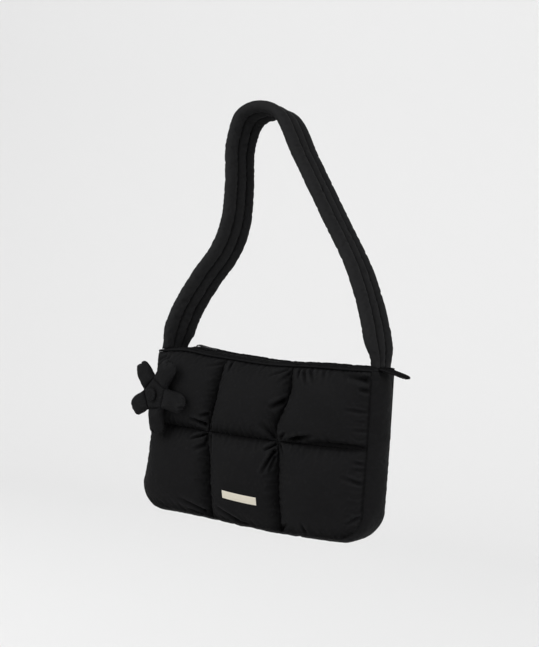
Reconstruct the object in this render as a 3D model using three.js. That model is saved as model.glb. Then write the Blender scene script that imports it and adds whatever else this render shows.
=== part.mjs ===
// A padded nylon shoulder bag, hanging by its strap. It has a quilted front, a plain back, a gusset round the
// sides and bottom, a zipped top with an end tab, a strap sewn in three channels, a stuffed flower pinned on, and
// a label.
// Millimetres: +X is to the right seen from the front, +Y to the back and +Z up.
// The origin is the underside of the strap's top, where a hook or a shoulder holds the bag.
import * as THREE from "three";

// Driving dimensions. Until the last line places it, the bag's bottom seam is at z = 0, in the middle of its depth.
const WIDTH = 300; // panels, side seam to side seam
const HEIGHT = 200; // panels, bottom seam to top seam
const DEPTH = 60; // gusset, front seam to back seam
const CORNER_RADIUS = 34; // the panels' bottom corners
const SHELL = 3; // nylon with thin wadding
const RIM = 1.4; // half the thickness of a panel at its sewn edge
const GAP = 0.4; // left between pieces that are sewn together

// How the soft bag departs from a plain box: its top edge dips and humps, its left bottom corner splays out and
// its right side tapers.
const TOP_DIPS = [
  { x: 14, depth: 4.2, spread: 58 },
  { x: 112, depth: 1.6, spread: 40 },
];
const TOP_HUMP = { x: -112, height: 3.8, spread: 28 };
const BOTTOM_SAG = { x: 25, depth: 4.6, spread: 95 };
const LEFT_SPLAY = 13;
const LEFT_LIFT = 7;
const RIGHT_TAPER = 3.4;

const QUILT = {
  uprights: [ // the upright seams' x at the bottom and at the top
    { bottom: -WIDTH / 2, top: -WIDTH / 2 },
    { bottom: -53, top: -48 },
    { bottom: 44, top: 46 },
    { bottom: WIDTH / 2, top: WIDTH / 2 },
  ],
  levels: [0, 109, HEIGHT], // z of the level seams
  steps: 16, // facets across a cell
  crown: 20, // how far the stuffed front stands out in all
  puff: 17, // how far a cell stands out from its seams
  edge: 0.5, // how steeply a cell rises from its seams: lower is steeper
};
const BACK = { columns: 20, rows: 12, crown: 15, padding: 8 };
const GUSSET = { bulge: 8, topCurve: 8, sideCurve: 4, bottomTuck: 0.25, across: 6 };
const GUSSET_CORNER = { bulge: 8.5, z: 24, spread: 48, turn: 0.6 }; // the left bottom corner is pushed out
const GUSSET_FACETS = { side: 9, corner: 8, bottom: 14 };
const TOP_STRIP = {
  height: 2.8,
  outline: [ // y, and the share of the height
    [30.8, 0], [22, 0.25], [15, 0.25], [7.6, 0.25],
    [7.6, 1], [15, 1], [22, 1], [31, 0.78],
  ],
  steps: 20,
};
const ZIP = { halfWidth: 7.2, tape: 1.1, coilHalfWidth: 2.6, coil: 1.6, level: 0.9, endStop: 16 };
const TAB = { length: 34, halfWidth: 12, thickness: 3.2, droop: 8.5, droopCurve: 1.2, tip: 9, steps: 9 };
const SLIDER = { x: -116, length: 11, halfWidth: 4.2, height: 3.4, pull: 24, pullThickness: 1.4 };
const STRAP = { width: 52.4, thickness: 13.2, channels: 3, lobe: 0.7, groove: 0.56, edge: 0.45, twist: 7.5 };
const STRAP_END = { length: 26, width: 0.95, thickness: 0.74 }; // it is pressed flatter where it is sewn down
const STRAP_TUCK = { length: 36, share: 0.4 }; // the near edge of the right end is tucked in
const STRAP_FACETS = { along: 56, channel: 4 };
const FLOWER = { x: -131, y: -60.5, z: 149.5, turn: 16, roll: 7, petals: 5, reach: 52.5, petalRadius: 13.2 };
const FLOWER_BODY = { thickness: 10.5, spokes: 50, notchRadius: 20, notchRoundness: 7 };
const FLOWER_BEND = { fromX: 8, depth: 7 }; // the right petals lie back towards the panel
const BUTTON = { radius: 7.5, height: 4.5 };
const PIN = { radius: 4, length: 3.2 };
const LABEL = { x: -2.3, z: 36.2, width: 47, height: 9.4, thickness: 0.8, slant: 2.5, gap: 0.6, steps: 8 };

// The folds that show in the front panel: a crease of that depth and width from one place to another.
const FOLDS = [
  { fromX: -57, fromZ: 106, toX: -78, toZ: 97, depth: 6, width: 5 },
  { fromX: -58, fromZ: 91, toX: -72, toZ: 85, depth: 3.5, width: 6 },
  { fromX: -50, fromZ: 96, toX: -44, toZ: 80, depth: 3.5, width: 5 },
  { fromX: -62, fromZ: 120, toX: -80, toZ: 123, depth: 5, width: 5 },
  { fromX: 42, fromZ: 103, toX: 27, toZ: 97, depth: 5, width: 5 },
  { fromX: 41, fromZ: 93, toX: 28, toZ: 70, depth: 5, width: 5 },
  { fromX: 60, fromZ: 111, toX: 92, toZ: 117, depth: 7, width: 6 },
  { fromX: 52, fromZ: 160, toX: 33, toZ: 150, depth: 7, width: 7 },
  { fromX: 38, fromZ: 114, toX: 22, toZ: 131, depth: 5, width: 7 },
  { fromX: -62, fromZ: 10, toX: -93, toZ: 23, depth: 4, width: 6 },
  { fromX: -14, fromZ: 8, toX: -40, toZ: 20, depth: 4, width: 6 },
  { fromX: 148, fromZ: 186, toX: 124, toZ: 192, depth: 5, width: 6 },
  { fromX: 148, fromZ: 153, toX: 126, toZ: 155, depth: 4, width: 5 },
  { fromX: 148, fromZ: 88, toX: 136, toZ: 91, depth: 4, width: 5 },
  { fromX: 148, fromZ: 70, toX: 128, toZ: 77, depth: 4, width: 6 },
  { fromX: 62, fromZ: 197, toX: 77, toZ: 180, depth: 4, width: 5 },
];

// The strap's middle line, end to end: along the bag, behind it, and above the zipped top.
const STRAP_ROUTE = [
  { x: -147, back: 0, up: 0 },
  { x: -144.7, back: 2, up: 16 },
  { x: -136, back: 9, up: 50 },
  { x: -116.7, back: 17, up: 89 },
  { x: -93.8, back: 25, up: 127 },
  { x: -85.5, back: 32, up: 161 },
  { x: -88, back: 41, up: 206 },
  { x: -95.5, back: 51, up: 262 },
  { x: -87, back: 58, up: 298 },
  { x: -62, back: 60, up: 308 },
  { x: -34, back: 57, up: 300 },
  { x: 4, back: 47, up: 247.5 },
  { x: 58, back: 33, up: 172 },
  { x: 102, back: 21, up: 110 },
  { x: 130.4, back: 10, up: 52 },
  { x: 142.6, back: 2, up: 16 },
  { x: 145, back: 0, up: 0 },
];

const NYLON = { color: 0x1b1b1d, roughness: 0.62, metalness: 0 };
const MATERIALS = {
  nylon: new THREE.MeshStandardMaterial(NYLON),
  strapNylon: new THREE.MeshStandardMaterial({ ...NYLON, roughness: 0.58 }),
  zipTape: new THREE.MeshStandardMaterial({ color: 0x161617, roughness: 0.8, metalness: 0 }),
  zipCoil: new THREE.MeshStandardMaterial({ color: 0x121213, roughness: 0.45, metalness: 0 }),
  blackMetal: new THREE.MeshStandardMaterial({ color: 0x18181a, roughness: 0.35, metalness: 0.8 }),
  flowerNylon: new THREE.MeshStandardMaterial({ ...NYLON, roughness: 0.6 }),
  labelCloth: new THREE.MeshStandardMaterial({ color: 0xd9d3bf, roughness: 0.85, metalness: 0 }),
  pinSteel: new THREE.MeshStandardMaterial({ color: 0xb4b4b6, roughness: 0.35, metalness: 1 }),
};

// Makes a closed body from triangles that share their vertices.
function bodyFrom(points, triangles) {
  const geometry = new THREE.BufferGeometry().setFromPoints(points);
  geometry.setIndex(triangles);
  geometry.computeVertexNormals();
  return geometry;
}

// Makes a solid through rings of points. A ring runs anticlockwise seen from the far end of the solid, and its
// first half lies opposite its second half, so that each end is closed by a strip.
function loft(rings) {
  const count = rings[0].length;
  const triangles = [];
  const quad = (a, b, c, d) => triangles.push(a, b, c, a, c, d);
  for (let k = 0; k + 1 < rings.length; k++) {
    for (let i = 0; i < count; i++) {
      const next = (i + 1) % count;
      quad(k * count + i, k * count + next, (k + 1) * count + next, (k + 1) * count + i);
    }
  }
  const last = (rings.length - 1) * count;
  for (let i = 0; i + 1 < count / 2; i++) {
    const opposite = count - 1 - i;
    quad(i, opposite, opposite - 1, i + 1);
    quad(last + i, last + i + 1, last + opposite - 1, last + opposite);
  }
  return bodyFrom(rings.flat(), triangles);
}

// Makes a padded panel: a fine outer face and, every few steps, a coarser inner face, joined round the rim.
function paddedPanel(columns, rows, outerAt, innerAt, innerEvery) {
  const points = [];
  const triangles = [];
  const addFace = (us, vs, at, facingOut) => {
    const first = points.length;
    for (const v of vs) {
      for (const u of us) points.push(at(u, v));
    }
    const index = (i, j) => first + j * us.length + i;
    for (let j = 0; j + 1 < vs.length; j++) {
      for (let i = 0; i + 1 < us.length; i++) {
        const corners = [index(i, j), index(i + 1, j), index(i + 1, j + 1), index(i, j + 1)];
        if (!facingOut) corners.reverse();
        triangles.push(corners[0], corners[1], corners[2], corners[0], corners[2], corners[3]);
      }
    }
    const rim = [];
    for (let i = 0; i + 1 < us.length; i++) rim.push(index(i, 0));
    for (let j = 0; j + 1 < vs.length; j++) rim.push(index(us.length - 1, j));
    for (let i = us.length - 1; i > 0; i--) rim.push(index(i, vs.length - 1));
    for (let j = vs.length - 1; j > 0; j--) rim.push(index(0, j));
    return rim;
  };
  const everyFew = (list) => list.filter((_, i) => i % innerEvery === 0);
  const outerRim = addFace(columns, rows, outerAt, true);
  const innerRim = addFace(everyFew(columns), everyFew(rows), innerAt, false);
  innerRim.forEach((inner, m) => {
    const nextInner = innerRim[(m + 1) % innerRim.length];
    for (let k = 0; k < innerEvery; k++) {
      const outer = outerRim[m * innerEvery + k];
      const nextOuter = outerRim[(m * innerEvery + k + 1) % outerRim.length];
      triangles.push(inner, nextOuter, outer);
    }
    triangles.push(inner, nextInner, outerRim[((m + 1) * innerEvery) % outerRim.length]);
  });
  return bodyFrom(points, triangles);
}

// A bell curve, 1 at its middle.
const bell = (value, middle, spread) => Math.exp(-(((value - middle) / spread) ** 2));

// The height of the sewn top edge at a place along the bag.
function topEdge(x) {
  const hump = TOP_HUMP.height * bell(x, TOP_HUMP.x, TOP_HUMP.spread);
  return TOP_DIPS.reduce((height, dip) => height - dip.depth * bell(x, dip.x, dip.spread), HEIGHT + hump);
}

// Where a point of the panel's plain rectangle lies once its bottom corners are rounded and the bag has settled.
function onPanel(plainX, plainZ) {
  const blockX = WIDTH / 2 - CORNER_RADIUS;
  const across = (Math.abs(plainX) - blockX) / CORNER_RADIUS;
  const down = (CORNER_RADIUS - plainZ) / CORNER_RADIUS;
  let x = plainX;
  let z = plainZ;
  if (across > 0 && down > 0) {
    x = Math.sign(plainX) * (blockX + CORNER_RADIUS * across * Math.sqrt(1 - down ** 2 / 2));
    z = CORNER_RADIUS * (1 - down * Math.sqrt(1 - across ** 2 / 2));
  }
  const up = plainZ / HEIGHT;
  const leftward = Math.max(0, -2 * plainX / WIDTH);
  const rightward = Math.max(0, 2 * plainX / WIDTH);
  x -= LEFT_SPLAY * leftward ** 2 * (1 - up) ** 1.5;
  x -= RIGHT_TAPER * rightward ** 2 * (1 - up) ** 2;
  z += (topEdge(plainX) - HEIGHT) * up ** 3;
  z += LEFT_LIFT * (0.5 - plainX / WIDTH) * (1 - up);
  z -= BOTTOM_SAG.depth * bell(plainX, BOTTOM_SAG.x, BOTTOM_SAG.spread) * (1 - up) ** 3;
  return { x, z };
}

// A smooth swelling that is 1 in the middle of the panel and 0 at its edge.
function dome(plainX, plainZ) {
  const across = 1 - Math.abs(2 * plainX / WIDTH) ** 2.4;
  const up = 1 - Math.abs(2 * plainZ / HEIGHT - 1) ** 2.4;
  return Math.max(0, across * up);
}

// The upright seams' x at a height on the panel.
function seamsAt(z) {
  return QUILT.uprights.map(({ bottom, top }) => bottom + (top - bottom) * z / HEIGHT);
}

// 0 at the two ends of a span and 1 in its middle, rising steeply from the ends.
function pillow(value, edges) {
  const cell = value >= edges[edges.length - 1] ? edges.length - 2 : edges.findLastIndex((e) => value >= e);
  const share = (value - edges[cell]) / (edges[cell + 1] - edges[cell]);
  return Math.max(0, 4 * share * (1 - share)) ** QUILT.edge;
}

// How deep the listed folds are at a place on the front panel.
function foldDepth(x, z) {
  let depth = 0;
  for (const fold of FOLDS) {
    const along = new THREE.Vector2(fold.toX - fold.fromX, fold.toZ - fold.fromZ);
    const to = new THREE.Vector2(x - fold.fromX, z - fold.fromZ);
    const share = THREE.MathUtils.clamp(to.dot(along) / along.lengthSq(), 0, 1);
    const distance = to.sub(along.clone().multiplyScalar(share)).length();
    depth += fold.depth * (1 - 0.5 * share) * Math.exp(-((distance / fold.width) ** 2));
  }
  return depth;
}

// How far the front's outer face stands out from its seam plane.
function frontStandsOut(x, z) {
  const rise = pillow(x, seamsAt(z)) * pillow(z, QUILT.levels);
  return RIM + QUILT.crown * dome(x, z) + rise * Math.max(0, QUILT.puff - foldDepth(x, z));
}

function evenSteps(from, to, steps) {
  return Array.from({ length: steps + 1 }, (_, i) => from + (to - from) * i / steps);
}

// Steps counted in cells that are closer together beside the seams.
function cellSteps(cells) {
  const ease = (share) => (1 - Math.cos(Math.PI * share)) / 2;
  return evenSteps(0, cells, cells * QUILT.steps).map((step) => Math.floor(step) + ease(step % 1));
}

// The value that lies a count of cells along a list of seams.
function alongCells(count, edges) {
  const cell = Math.min(edges.length - 2, Math.floor(count));
  return edges[cell] + (edges[cell + 1] - edges[cell]) * (count - cell);
}

function frontPanel() {
  const face = (standsOut) => (column, row) => {
    const plainZ = alongCells(row, QUILT.levels);
    const plainX = alongCells(column, seamsAt(plainZ));
    const { x, z } = onPanel(plainX, plainZ);
    return new THREE.Vector3(x, -DEPTH / 2 - standsOut(plainX, plainZ), z);
  };
  const inner = face((x, z) => Math.max(-RIM, QUILT.crown * dome(x, z) - SHELL));
  const columns = cellSteps(QUILT.uprights.length - 1);
  const rows = cellSteps(QUILT.levels.length - 1);
  return paddedPanel(columns, rows, face(frontStandsOut), inner, 2);
}

function backPanel() {
  const face = (standsOut) => (plainX, plainZ) => {
    const { x, z } = onPanel(-plainX, plainZ);
    return new THREE.Vector3(x, DEPTH / 2 + standsOut(plainX, plainZ), z);
  };
  const outer = face((x, z) => RIM + BACK.crown * dome(x, z) ** 0.7);
  const inner = face((x, z) => Math.max(-RIM, BACK.crown * dome(x, z) ** 0.7 - BACK.padding));
  const columns = evenSteps(-WIDTH / 2, WIDTH / 2, BACK.columns);
  return paddedPanel(columns, evenSteps(0, HEIGHT, BACK.rows), outer, inner, 1);
}

// The panels' outline without the top edge: down the left side, along the bottom and up the right side.
function gussetLine() {
  const half = WIDTH / 2;
  const block = half - CORNER_RADIUS;
  const line = [];
  const addSpan = (fromX, fromZ, toX, toZ, steps) => {
    for (let i = 0; i < steps; i++) {
      const share = i / steps;
      line.push(onPanel(fromX + (toX - fromX) * share, fromZ + (toZ - fromZ) * share));
    }
  };
  addSpan(-half, HEIGHT, -half, CORNER_RADIUS, GUSSET_FACETS.side);
  addSpan(-half, CORNER_RADIUS, -half, 0, GUSSET_FACETS.corner / 2);
  addSpan(-half, 0, -block, 0, GUSSET_FACETS.corner / 2);
  addSpan(-block, 0, block, 0, GUSSET_FACETS.bottom);
  addSpan(block, 0, half, 0, GUSSET_FACETS.corner / 2);
  addSpan(half, 0, half, CORNER_RADIUS, GUSSET_FACETS.corner / 2);
  addSpan(half, CORNER_RADIUS, half, HEIGHT, GUSSET_FACETS.side);
  line.push(onPanel(half, HEIGHT));
  return line;
}

// The gusset swells between its seams, less along the bottom and towards the top.
function gusset() {
  const line = gussetLine();
  const edgeY = DEPTH / 2 - RIM - GAP;
  const depths = evenSteps(-edgeY, edgeY, GUSSET.across);
  const rings = line.map((place, k) => {
    const before = line[Math.max(0, k - 1)];
    const after = line[Math.min(line.length - 1, k + 1)];
    const run = new THREE.Vector2(after.x - before.x, after.z - before.z).normalize();
    const swell = GUSSET.bulge * (1 - (place.z / HEIGHT) ** GUSSET.topCurve) * (1 - GUSSET.bottomTuck * run.x ** 2);
    const facingLeft = THREE.MathUtils.smoothstep(-run.y, 0, GUSSET_CORNER.turn);
    const pushedOut = GUSSET_CORNER.bulge * facingLeft * bell(place.z, GUSSET_CORNER.z, GUSSET_CORNER.spread);
    const bulge = place.x < 0 ? swell + pushedOut : swell;
    const pointAt = (y, inset) => {
      const out = bulge * (1 - (y / edgeY) ** GUSSET.sideCurve) - inset;
      return new THREE.Vector3(place.x + run.y * out, y, place.z - run.x * out);
    };
    const outer = depths.map((y) => pointAt(y, 0));
    const inner = depths.map((y) => pointAt(y, SHELL)).reverse();
    return [...outer, ...inner];
  });
  return loft(rings);
}

// A strip along the top of the bag that follows its sag, from a closed outline of y and height above the top edge.
function topRun(fromX, toX, steps, outline) {
  const stations = evenSteps(fromX, toX, steps);
  return loft(stations.map((x) => outline.map(({ y, up }) => new THREE.Vector3(x, y, topEdge(x) + GAP + up))));
}

// One of the two strips between a panel and the zip. Its outer edge is a soft roll.
function topStrip(side) {
  const ring = TOP_STRIP.outline.map(([y, share]) => ({ y, up: share * TOP_STRIP.height }));
  const outline = side > 0 ? ring.reverse() : ring.map(({ y, up }) => ({ y: -y, up }));
  return topRun(-WIDTH / 2, WIDTH / 2, TOP_STRIP.steps, outline);
}

function zipTape() {
  const { halfWidth, tape, level } = ZIP;
  const outline = [
    { y: -halfWidth, up: level },
    { y: halfWidth, up: level },
    { y: halfWidth, up: level + tape },
    { y: -halfWidth, up: level + tape },
  ];
  return topRun(-WIDTH / 2, WIDTH / 2, TOP_STRIP.steps, outline);
}

function zipCoil() {
  const { coilHalfWidth, coil, level, tape } = ZIP;
  const foot = level + tape + GAP;
  const outline = [
    { y: -coilHalfWidth, up: foot },
    { y: coilHalfWidth, up: foot },
    { y: coilHalfWidth * 0.6, up: foot + coil },
    { y: -coilHalfWidth * 0.6, up: foot + coil },
  ];
  return topRun(SLIDER.x + SLIDER.length, WIDTH / 2 - ZIP.endStop, TOP_STRIP.steps, outline);
}

// The slider rides on the coil, with its pull laid back along the zip.
function zipSlider() {
  const { length, halfWidth, height, pull, pullThickness } = SLIDER;
  const side = new THREE.Shape();
  side.moveTo(0, 0);
  side.lineTo(length, 0);
  side.lineTo(length, height * 0.6);
  side.lineTo(length * 0.7, height);
  side.lineTo(length * 0.7 + pull, height);
  side.lineTo(length * 0.7 + pull, height + pullThickness);
  side.lineTo(length * 0.3, height + pullThickness);
  side.lineTo(0, height * 0.6);
  side.closePath();
  const geometry = new THREE.ExtrudeGeometry(side, { depth: 2 * halfWidth, bevelEnabled: false });
  return geometry.rotateX(Math.PI / 2).translate(0, halfWidth, 0);
}

// The folded cloth tab that closes the zip's end. It sticks out past the side and droops.
function zipTab() {
  const { length, halfWidth, thickness, droop, droopCurve, tip, steps } = TAB;
  const middle = ZIP.level + ZIP.tape / 2;
  const rings = evenSteps(0, 1, steps).map((share) => {
    const along = share * length;
    const fromTip = Math.max(0, along - (length - tip)) / tip;
    const half = halfWidth * Math.sqrt(1 - 0.92 * fromTip ** 2);
    const x = WIDTH / 2 + GAP + along;
    const z = HEIGHT + GAP + middle - droop * share ** droopCurve;
    const at = (y, up) => new THREE.Vector3(x, y * half, z + up * thickness / 2);
    return [at(-0.9, -1), at(0, -1), at(0.9, -1), at(1, 0), at(0.9, 1), at(0, 1), at(-0.9, 1), at(-1, 0)];
  });
  return loft(rings.map((ring) => [ring[7], ...ring.slice(0, 7)]));
}

// Half the strap's thickness at a share of its width, from -1 to 1: one lobe for each channel.
function strapHalf(share) {
  const channel = (share + 1) / 2 * STRAP.channels;
  const inChannel = 2 * (channel - Math.min(STRAP.channels - 1, Math.floor(channel))) - 1;
  const floor = Math.abs(share) > 0.999 ? STRAP.edge : STRAP.groove;
  return STRAP.thickness / 2 * Math.max(floor, Math.sqrt(Math.max(0, 1 - STRAP.lobe * inChannel ** 4)));
}

const strapFoot = topEdge(STRAP_ROUTE[0].x) + TOP_STRIP.height + 3 * GAP;
const strapPlace = ({ x, back, up }) => new THREE.Vector3(x, back, strapFoot + up);
const strapTop = strapPlace(STRAP_ROUTE.reduce((highest, row) => (row.up > highest.up ? row : highest)));

function strap() {
  const line = new THREE.CatmullRomCurve3(STRAP_ROUTE.map(strapPlace), false, "centripetal");
  const twist = THREE.MathUtils.degToRad(STRAP.twist);
  const lean = Math.atan2(strapTop.y, strapTop.z - strapFoot);
  const hung = new THREE.Vector3(Math.sin(twist), Math.cos(twist) * Math.cos(lean), -Math.sin(lean)).normalize();
  const across = evenSteps(-1, 1, STRAP.channels * STRAP_FACETS.channel);
  const total = line.getLength();
  const rings = evenSteps(0, 1, STRAP_FACETS.along).map((share) => {
    const atEnd = share === 0 || share === 1;
    const run = atEnd ? new THREE.Vector3(0, 0, share ? -1 : 1) : line.getTangentAt(share);
    const middle = line.getPointAt(share);
    const nearEnd = Math.min(share, 1 - share) * total / STRAP_END.length;
    const full = THREE.MathUtils.smoothstep(nearEnd, 0, 1);
    const level = new THREE.Vector3(0, 1, 0).lerp(hung, full);
    const width = level.addScaledVector(run, -level.dot(run)).normalize();
    const outward = new THREE.Vector3().crossVectors(run, width);
    const widthScale = STRAP.width / 2 * THREE.MathUtils.lerp(STRAP_END.width, 1, full);
    const heightScale = THREE.MathUtils.lerp(STRAP_END.thickness, 1, full);
    const tucked = STRAP_TUCK.share * (1 - THREE.MathUtils.smoothstep((1 - share) * total, 0, STRAP_TUCK.length));
    const at = (w, side) =>
      middle
        .clone()
        .addScaledVector(width, w * widthScale * (w < 0 ? 1 - tucked : 1))
        .addScaledVector(outward, side * strapHalf(w) * heightScale);
    return [...across.map((w) => at(w, -1)), ...across.map((w) => at(w, 1)).reverse()];
  });
  return loft(rings);
}

// The flower's outline as a distance from its middle: round-ended petals that meet in rounded notches.
function flowerReach(angle) {
  const step = 2 * Math.PI / FLOWER.petals;
  const fromPetal = Math.abs(((angle % step) + step * 1.5) % step - step / 2);
  const tipCentre = FLOWER.reach - FLOWER.petalRadius;
  const beside = tipCentre * Math.sin(fromPetal);
  const onTip = beside < FLOWER.petalRadius * 0.98;
  const reach = onTip
    ? tipCentre * Math.cos(fromPetal) + Math.sqrt(FLOWER.petalRadius ** 2 - beside ** 2)
    : FLOWER.petalRadius / Math.sin(fromPetal);
  const { notchRadius, notchRoundness } = FLOWER_BODY;
  return (reach ** notchRoundness + notchRadius ** notchRoundness) ** (1 / notchRoundness);
}

// The flower in its own frame: x to its right, y up, z out of its face, with one petal pointing straight down.
function flower() {
  const { spokes, thickness } = FLOWER_BODY;
  const levels = [-0.86, -1, -0.82, -0.5, 0, 0.5, 0.82, 1, 0.86];
  const spreads = [0.16, 0.55, 0.84, 0.96, 1, 0.96, 0.84, 0.55, 0.16];
  const rings = levels.map((level, k) =>
    Array.from({ length: spokes }, (_, i) => {
      const angle = (2 * Math.PI * i) / spokes;
      const reach = flowerReach(angle) * spreads[k];
      const x = reach * Math.sin(angle);
      const bend = FLOWER_BEND.depth * THREE.MathUtils.smoothstep(x, FLOWER_BEND.fromX, FLOWER.reach);
      return new THREE.Vector3(x, -reach * Math.cos(angle), level * thickness / 2 - bend);
    }),
  );
  return loft(rings);
}

function flowerButton() {
  const { radius, height } = BUTTON;
  const profile = [
    [0, 0],
    [radius * 0.9, 0],
    [radius, height * 0.4],
    [radius * 0.75, height * 0.85],
    [0, height],
  ];
  return new THREE.LatheGeometry(profile.map(([r, y]) => new THREE.Vector2(r, y)), 24).rotateX(Math.PI / 2);
}

function flowerPin() {
  const { radius, length } = PIN;
  const profile = [[0, -length], [radius, -length], [radius, 0], [0, 0]];
  return new THREE.LatheGeometry(profile.map(([r, y]) => new THREE.Vector2(r, y)), 16).rotateX(Math.PI / 2);
}

// The label lies on the swell of its cell, a little aslant.
function label() {
  const slant = THREE.MathUtils.degToRad(LABEL.slant);
  const rings = evenSteps(-LABEL.width / 2, LABEL.width / 2, LABEL.steps).map((across) => {
    const at = (up, lift) => {
      const x = LABEL.x + across * Math.cos(slant) + up * Math.sin(slant);
      const z = LABEL.z - across * Math.sin(slant) + up * Math.cos(slant);
      const onFront = onPanel(x, z);
      return new THREE.Vector3(onFront.x, -DEPTH / 2 - frontStandsOut(x, z) - LABEL.gap - lift, onFront.z);
    };
    const ups = [-LABEL.height / 2, 0, LABEL.height / 2];
    return [...ups.map((up) => at(up, LABEL.thickness)).reverse(), ...ups.map((up) => at(up, 0))];
  });
  return loft(rings);
}

function piece(name, geometry, material) {
  const mesh = new THREE.Mesh(geometry, material);
  mesh.name = name;
  return mesh;
}

function flowerGroup() {
  const group = new THREE.Group();
  const middle = piece("flower", flower(), MATERIALS.flowerNylon);
  const button = piece("flower_button", flowerButton(), MATERIALS.flowerNylon);
  const pin = piece("flower_pin", flowerPin(), MATERIALS.pinSteel);
  button.position.z = FLOWER_BODY.thickness / 2 + GAP;
  pin.position.z = -FLOWER_BODY.thickness / 2 - GAP;
  group.add(middle, button, pin);
  group.rotation.set(Math.PI / 2, 0, 0);
  group.rotateY(THREE.MathUtils.degToRad(-FLOWER.turn));
  group.rotateZ(THREE.MathUtils.degToRad(FLOWER.roll));
  group.position.set(FLOWER.x, FLOWER.y, FLOWER.z);
  return group;
}

function zipGroup() {
  const group = new THREE.Group();
  const slider = piece("zip_slider", zipSlider(), MATERIALS.blackMetal);
  slider.position.set(SLIDER.x, 0, topEdge(SLIDER.x) + ZIP.level + ZIP.tape + 3 * GAP);
  group.add(
    piece("zip_tape", zipTape(), MATERIALS.zipTape),
    piece("zip_coil", zipCoil(), MATERIALS.zipCoil),
    piece("zip_end_tab", zipTab(), MATERIALS.nylon),
    slider,
  );
  return group;
}

const bag = new THREE.Group();
bag.add(
  piece("front_panel", frontPanel(), MATERIALS.nylon),
  piece("back_panel", backPanel(), MATERIALS.nylon),
  piece("gusset", gusset(), MATERIALS.nylon),
  piece("top_strip_front", topStrip(-1), MATERIALS.nylon),
  piece("top_strip_back", topStrip(1), MATERIALS.nylon),
  zipGroup(),
  piece("strap", strap(), MATERIALS.strapNylon),
  flowerGroup(),
  piece("label", label(), MATERIALS.labelCloth),
);
bag.position.set(-strapTop.x, -strapTop.y, -(strapTop.z - STRAP.thickness / 2));

const part = new THREE.Group();
part.add(bag);
export default part;
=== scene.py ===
# A padded nylon shoulder bag hanging by its strap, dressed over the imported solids.
# Lengths are millimetres in the bag's own frame: x to the right seen from the front, y to the back
# and z up from the bottom seam. to_row() turns them into metres in the row frame, whose origin is
# under the top of the strap.
import math
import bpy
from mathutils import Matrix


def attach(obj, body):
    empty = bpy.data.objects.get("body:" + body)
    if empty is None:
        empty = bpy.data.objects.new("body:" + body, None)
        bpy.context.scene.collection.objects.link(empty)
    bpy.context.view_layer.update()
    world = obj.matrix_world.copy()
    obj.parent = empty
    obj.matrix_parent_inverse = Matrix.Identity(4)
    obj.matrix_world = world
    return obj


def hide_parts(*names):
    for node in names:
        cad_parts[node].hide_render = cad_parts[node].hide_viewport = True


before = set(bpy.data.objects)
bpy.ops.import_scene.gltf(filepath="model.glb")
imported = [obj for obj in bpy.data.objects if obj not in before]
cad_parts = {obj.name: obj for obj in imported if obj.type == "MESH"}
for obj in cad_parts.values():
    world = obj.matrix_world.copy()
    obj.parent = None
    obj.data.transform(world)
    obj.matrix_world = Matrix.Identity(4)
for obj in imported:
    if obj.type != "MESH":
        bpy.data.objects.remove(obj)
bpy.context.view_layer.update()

from types import SimpleNamespace as Sizes

import bpy
import numpy as np
from mathutils import Matrix, Vector
from mathutils.bvhtree import BVHTree

# Sizes that the solids have too
WIDTH = 300.0
HEIGHT = 200.0
DEPTH = 60.0
CORNER_RADIUS = 34.0
SHELL = 3.0
RIM = 1.4
GAP = 0.4
TOP_DIPS = [Sizes(x=14.0, depth=4.2, spread=58.0), Sizes(x=112.0, depth=1.6, spread=40.0)]
TOP_HUMP = Sizes(x=-112.0, height=3.8, spread=28.0)
BOTTOM_SAG = Sizes(x=25.0, depth=4.6, spread=95.0)
LEFT_SPLAY = 13.0
LEFT_LIFT = 7.0
RIGHT_TAPER = 3.4
# How sharply these fade across the panel
FADES = Sizes(splay=1.5, taper=2, top=3, sag=3)
GUSSET = Sizes(bulge=8.0, top_curve=8.0, side_curve=4.0, bottom_tuck=0.25)
GUSSET_CORNER = Sizes(bulge=8.5, z=24.0, spread=48.0, turn=0.6)
TOP_STRIP = Sizes(height=2.8, stitch_y=24.5)
ZIP = Sizes(half_width=7.2, tape=1.1, coil_half_width=2.6, level=0.9, end_stop=16.0)
TAB = Sizes(length=34.0, half_width=12.0, thickness=3.2, droop=8.5, droop_curve=1.2, tip=9.0)
SLIDER = Sizes(x=-116.0, length=11.0, half_width=4.2, height=3.4, pull=24.0)
STRAP = Sizes(width=52.4, thickness=13.2, channels=3, twist=7.5)
STRAP_END = Sizes(length=26.0, width=0.95, thickness=0.74)
STRAP_TUCK = Sizes(length=36.0, share=0.4)
FLOWER = Sizes(x=-131.0, y=-60.5, z=149.5, turn=16.0, roll=7.0, petals=5, reach=52.5, petal_radius=13.2)
FLOWER_BODY = Sizes(thickness=10.5, notch_radius=20.0, notch_roundness=7.0, seam=17.0)
FLOWER_BEND = Sizes(from_x=8.0, depth=7.0)
BUTTON_RADIUS = 7.5
LABEL = Sizes(x=-2.3, z=36.2, width=47.0, height=9.4, thickness=0.8, slant=2.5)

# The quilted front: where its upright seams are at the bottom and at the top, and its level seams.
# An upright's swings are places where the cloth pulls it aside: a height, how far round it, and how
# far aside.
UPRIGHTS = [
    Sizes(bottom=-WIDTH / 2, top=-WIDTH / 2, swings=[]),
    Sizes(bottom=-53.0, top=-48.0, swings=[(109.0, 28.0, -4.5)]),
    Sizes(bottom=44.0, top=46.0, swings=[(168.0, 22.0, 5.5), (126.0, 19.0, -6.0)]),
    Sizes(bottom=WIDTH / 2, top=WIDTH / 2, swings=[]),
]
LEVELS = np.array([0.0, 109.0, HEIGHT])
QUILT = Sizes(crown=20.0, puff=15.0, steps=52)
BACK = Sizes(crown=15.0, padding=8.0, fullness=0.7, start=0.94)
DOME_POWER = 2.4

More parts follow.
